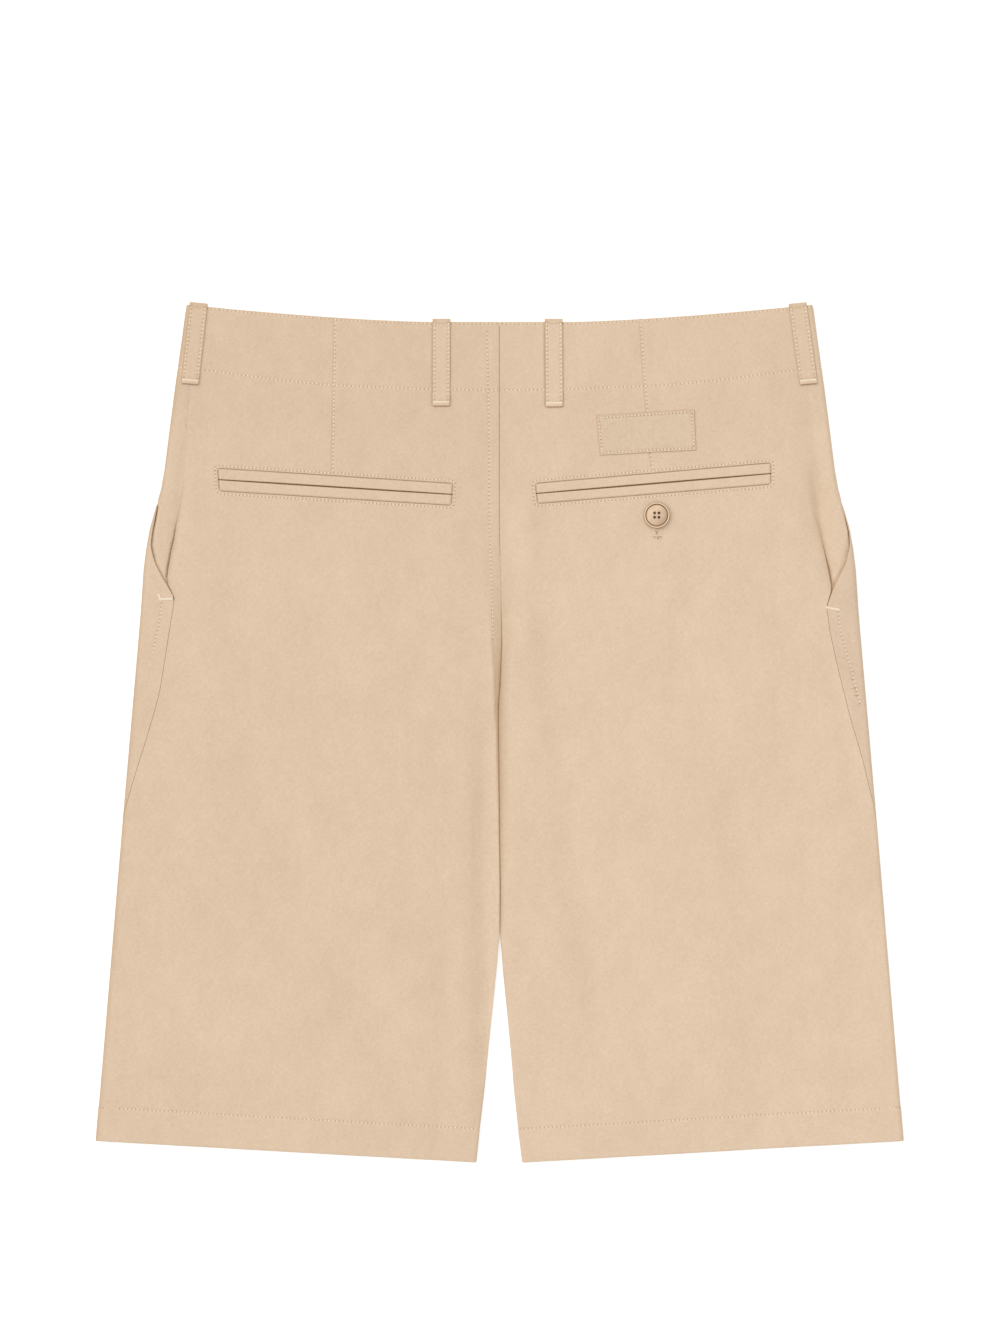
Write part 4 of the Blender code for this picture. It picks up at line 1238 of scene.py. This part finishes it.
def make_button():
    bm = bmesh.new()
    verts = [bm.verts.new((turn.radius, 0.0, turn.height)) for turn in BUTTON_PROFILE]
    edges = [bm.edges.new(pair) for pair in zip(verts, verts[1:])]
    turn = {"cent": (0, 0, 0), "axis": (0, 0, 1), "angle": math.tau, "steps": BUTTON_SEGMENTS}
    bmesh.ops.spin(bm, geom=verts + edges, use_merge=True, **turn)
    bmesh.ops.remove_doubles(bm, verts=bm.verts[:], dist=1e-4)
    top = BUTTON_PROFILE[-1].height
    holes = []
    for x in (-HOLE_SPREAD, HOLE_SPREAD):
        for y in (-HOLE_SPREAD, HOLE_SPREAD):
            place = Matrix.Translation((x, y, top))
            ring = bmesh.ops.create_circle(bm, segments=HOLE_SEGMENTS, radius=HOLE_RADIUS, matrix=place)
            holes += list({edge for vert in ring["verts"] for edge in vert.link_edges})
    outside = [edge for edge in bm.edges if edge.is_boundary and edge not in set(holes)]
    bmesh.ops.triangle_fill(bm, use_beauty=True, edges=outside + holes)
    sunk = bmesh.ops.extrude_edge_only(bm, edges=holes)["geom"]
    sunk_verts = [item for item in sunk if isinstance(item, bmesh.types.BMVert)]
    for vert in sunk_verts:
        vert.co.z = HOLE_BOTTOM
    sunk_edges = [item for item in sunk if isinstance(item, bmesh.types.BMEdge)]
    bmesh.ops.edgeloop_fill(bm, edges=sunk_edges)
    bmesh.ops.bevel(bm, geom=holes, offset=HOLE_BEVEL, segments=2, affect="EDGES", profile=0.5, material=-1)
    bmesh.ops.recalc_face_normals(bm, faces=bm.faces[:])
    # Layers for the painted shade and the painted highlight on the rim
    dark = bm.verts.layers.float.new("painted_shade")
    painted_rim_highlight = bm.verts.layers.float.new("rim")
    height = float(back_height(BUTTON.x, BUTTON.level)) + BUTTON_SEAT
    seat = Vector((BUTTON.x, TOP_EDGE_Y - BUTTON.level, height))
    for vert in bm.verts:
        radius = math.hypot(vert.co.x, vert.co.y)
        groove = math.exp(-(((radius - GROOVE_RADIUS) / GROOVE_WIDTH) ** 2)) * (vert.co.z > GROOVE_ABOVE)
        hole = 1.0 if vert.co.z < top - HOLE_DARK_BELOW and radius < HOLE_DARK_WITHIN else 0.0
        edge = EDGE_DARK * float(ease(radius, *EDGE_DARK_FROM))
        heading = SIDE_DARK_HEADING[0] * vert.co.x + SIDE_DARK_HEADING[1] * vert.co.y
        beside = SIDE_DARK * float(ease(heading, *SIDE_DARK_FROM)) if radius < SIDE_DARK_RADIUS else 0.0
        vert[dark] = max(groove, hole, edge, beside)
        vert[painted_rim_highlight] = float(ease(radius, *RIM_FROM)) * (1 - edge)
        vert.co = (vert.co + seat) * MM
    mesh = bpy.data.meshes.new("turned_button")
    bm.to_mesh(mesh)
    bm.free()
    mesh.shade_smooth()
    mesh.set_sharp_from_angle(angle=BUTTON_SHARP)
    mesh.materials.append(horn_resin())
    button = add_piece("turned_button", mesh)
    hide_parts("button")


make_button()

# --------------------------------------------------------------------------------------------------- Sewing
# Lockstitch in matching spun polyester: two-millimetre stitches that dip into the cloth at both ends. Bars
# of close stitches hold the pocket mouths and the loops, and a worked buttonhole lies under the button.

THREAD_RADIUS = 0.31
THREAD_DEPTH = 0.1
THREAD_DEPTH_UNDER = 0.28
STITCH_SHARE = 0.86
STITCH_UNEVEN = 0.015
TACK_PITCH = 0.5
TACK_LENGTH = 2.1
TACK_RADIUS = 0.36
TACK_SUNK = -0.35
MOUTH_TACKS = {
    "left": spots_at((-221.0, 177.0), (-220.0, 180.2), (-212.2, 179.9)),
    "right": spots_at((211.6, 185.3), (220.1, 187.2)),
}
LOOP_THREAD = {"back": (0.14, -0.1), "front": (0.35, 0.36)}  # depth of the rows and of the bar-tack
LOOP_TACK_INSET = 0.8
LOOP_TACK_LENGTH = 1.5
BUTTONHOLE_START = 127.0
BUTTONHOLE_END = 141.0
BUTTONHOLE_INNER = 1.0
BUTTONHOLE_OUTER = 2.9
BUTTONHOLE_PITCH = 1.5
BUTTONHOLE_HEIGHT = 0.35


def polyester_thread():
    """Spun polyester: a fine two-ply thread. The eye gets pale dots with a slight shine."""
    material, shader = new_material("polyester_thread", {"Roughness": 0.6, "Sheen Weight": 0.2})
    place = node(material, "TexCoord").outputs["Object"]
    ply = node(material, "TexNoise", None, {"Vector": place, "Scale": 1 / (1.5 * MM), "Detail": 1.0})
    colour = mix_colours(material, ply.outputs["Fac"], linear("E6D2B8"), linear("F6E8D4"))
    material.node_tree.links.new(colour, shader.inputs["Base Color"])
    return material


thread = polyester_thread()


def sew(name, lines, tacks=()):
    """Stitches along lines of points, one from each point to the next, and thicker ones for bar-tacks."""
    bm = bmesh.new()
    for line, radius in [(line, THREAD_RADIUS) for line in lines] + [(line, TACK_RADIUS) for line in tacks]:
        for start, end in zip(line, line[1:]):
            run = Vector(end - start)
            size = Vector((radius, radius, run.length * STITCH_SHARE / 2)) * MM
            middle = Vector(start + end) / 2 * MM
            place = Matrix.LocRotScale(middle, run.to_track_quat("Z", "Y"), size)
            bmesh.ops.create_uvsphere(bm, u_segments=6, v_segments=4, radius=1.0, matrix=place)
    mesh = bpy.data.meshes.new(name)
    bm.to_mesh(mesh)
    bm.free()
    mesh.shade_smooth()
    mesh.materials.append(thread)
    add_piece(name, mesh)


def on_cut(cut, sewing, spots, sunk=0.0):
    """Points where thread lies on a panel."""
    x, level = spots.T
    pressed, _ = relief(x, level, [line for line in sewing if isinstance(line, Seam)])
    depth = pressed + cut.sink(drop_at(x, level), cut.half.side * x)
    uneven = STITCH_UNEVEN * (np.sin(x / 2.7 + level / 3.9) + np.sin(x / 6.1 - level / 7.3))
    depth = depth + (THREAD_DEPTH if cut.over else THREAD_DEPTH_UNDER) + sunk + uneven
    return cut.half.skin(x, level, depth, cut.over)


def bars(start, end, length):
    """Pairs of spots for close stitches laid across the line from start to end."""
    run = np.array(end) - np.array(start)
    across = np.array([-run[1], run[0]]) / np.linalg.norm(run) * length / 2
    middles = walk([Spot(*start), Spot(*end)], TACK_PITCH)
    return [np.array([middle - across, middle + across]) for middle in middles]


for cut, sewing in sewn:
    rows = [line for line in sewing if isinstance(line, Row)]
    lines = [on_cut(cut, sewing, walk(row.points, row.pitch), row.sunk if cut.over else 0.0) for row in rows]
    tacks = []
    if cut.name.startswith("front"):
        spots = MOUTH_TACKS[cut.half.word]
        for ends in zip(spots, spots[1:]):
            tack = from_above(cut.half, ends)
            tacks += [on_cut(cut, [], pair, TACK_SUNK) for pair in bars(*tack, TACK_LENGTH)]
    sew("thread_" + cut.name, lines, tacks)

half_tack = LOOP_WIDTH / 2 - LOOP_TACK_INSET
for loop in LOOPS:
    row_depth, tack_depth = LOOP_THREAD[loop.face]
    rows = [walk(row.points, row.pitch) for row in loop_rows(loop)]
    tacks = bars((-half_tack, TACK_AT), (half_tack, TACK_AT), LOOP_TACK_LENGTH)
    lines = [loop_skin(loop, *row.T, row_depth) for row in rows]
    sew("thread_" + loop.name, lines, [loop_skin(loop, *tack.T, tack_depth) for tack in tacks])

x, level = walk(patch_row.points, patch_row.pitch).T
sew("thread_label_patch", [on_back(x, level, LAYER_GAP + PATCH_WALL - THREAD_DEPTH)])

# The hand moves a little from stitch to stitch, so each lies differently
buttonhole = []
for number, level in enumerate(np.arange(BUTTONHOLE_START, BUTTONHOLE_END, BUTTONHOLE_PITCH)):
    for side in (-1, 1):
        shift = 0.35 * math.sin(2.4 * number + side)
        x = BUTTONHOLE_X + side * (np.array([BUTTONHOLE_INNER, BUTTONHOLE_OUTER]) + shift)
        levels = np.array([level, level + 0.3 * math.sin(1.7 * number - side)])
        buttonhole.append(on_back(x, levels, BUTTONHOLE_HEIGHT))
sew("thread_buttonhole", [], buttonhole)

# --------------------------------------------------------------------------------------------------- Studio
# A white light table under a bright even dome, with one large soft box far off at the upper left.


def opal_acrylic():
    """Matt opal acrylic over lamps, a light table: white, with hardly a shadow round what lies on it."""
    values = {"Base Color": linear("D2D2D2"), "Roughness": 0.95, "Specular IOR Level": 0.1}
    glow = {"Emission Color": (1.0, 1.0, 1.0, 1.0), "Emission Strength": 0.5}
    return new_material("opal_acrylic", {**values, **glow})[0]


bm = bmesh.new()
bmesh.ops.create_grid(bm, x_segments=1, y_segments=1, size=6.0)
mesh = bpy.data.meshes.new("floor")
bm.to_mesh(mesh)
bm.free()
mesh.materials.append(opal_acrylic())
floor = bpy.data.objects.new("floor", mesh)
bpy.context.collection.objects.link(floor)

world = bpy.data.worlds.new("studio")
bpy.context.scene.world = world
world.use_nodes = True
dome = world.node_tree.nodes["Background"].inputs
dome["Color"].default_value = (1, 1, 1, 1)
dome["Strength"].default_value = 0.695

KEY_FROM = Vector((-0.65, 0.5, 1.3))
key_light = bpy.data.lights.new("far_soft_box", "SUN")
key_light.angle = math.radians(80)
key_light.energy = 1.58
key = bpy.data.objects.new("far_soft_box", key_light)
key.location = KEY_FROM * 3
key.rotation_euler = (-KEY_FROM).to_track_quat("-Z", "Y").to_euler()
bpy.context.collection.objects.link(key)

lens = bpy.data.cameras.new("camera")
lens.lens = 85.0
camera = bpy.data.objects.new("camera", lens)
camera.location = (0.0002, 0.0424, 2.0468)
bpy.context.collection.objects.link(camera)
bpy.context.scene.camera = camera
bpy.context.scene.view_settings.view_transform = "Standard"
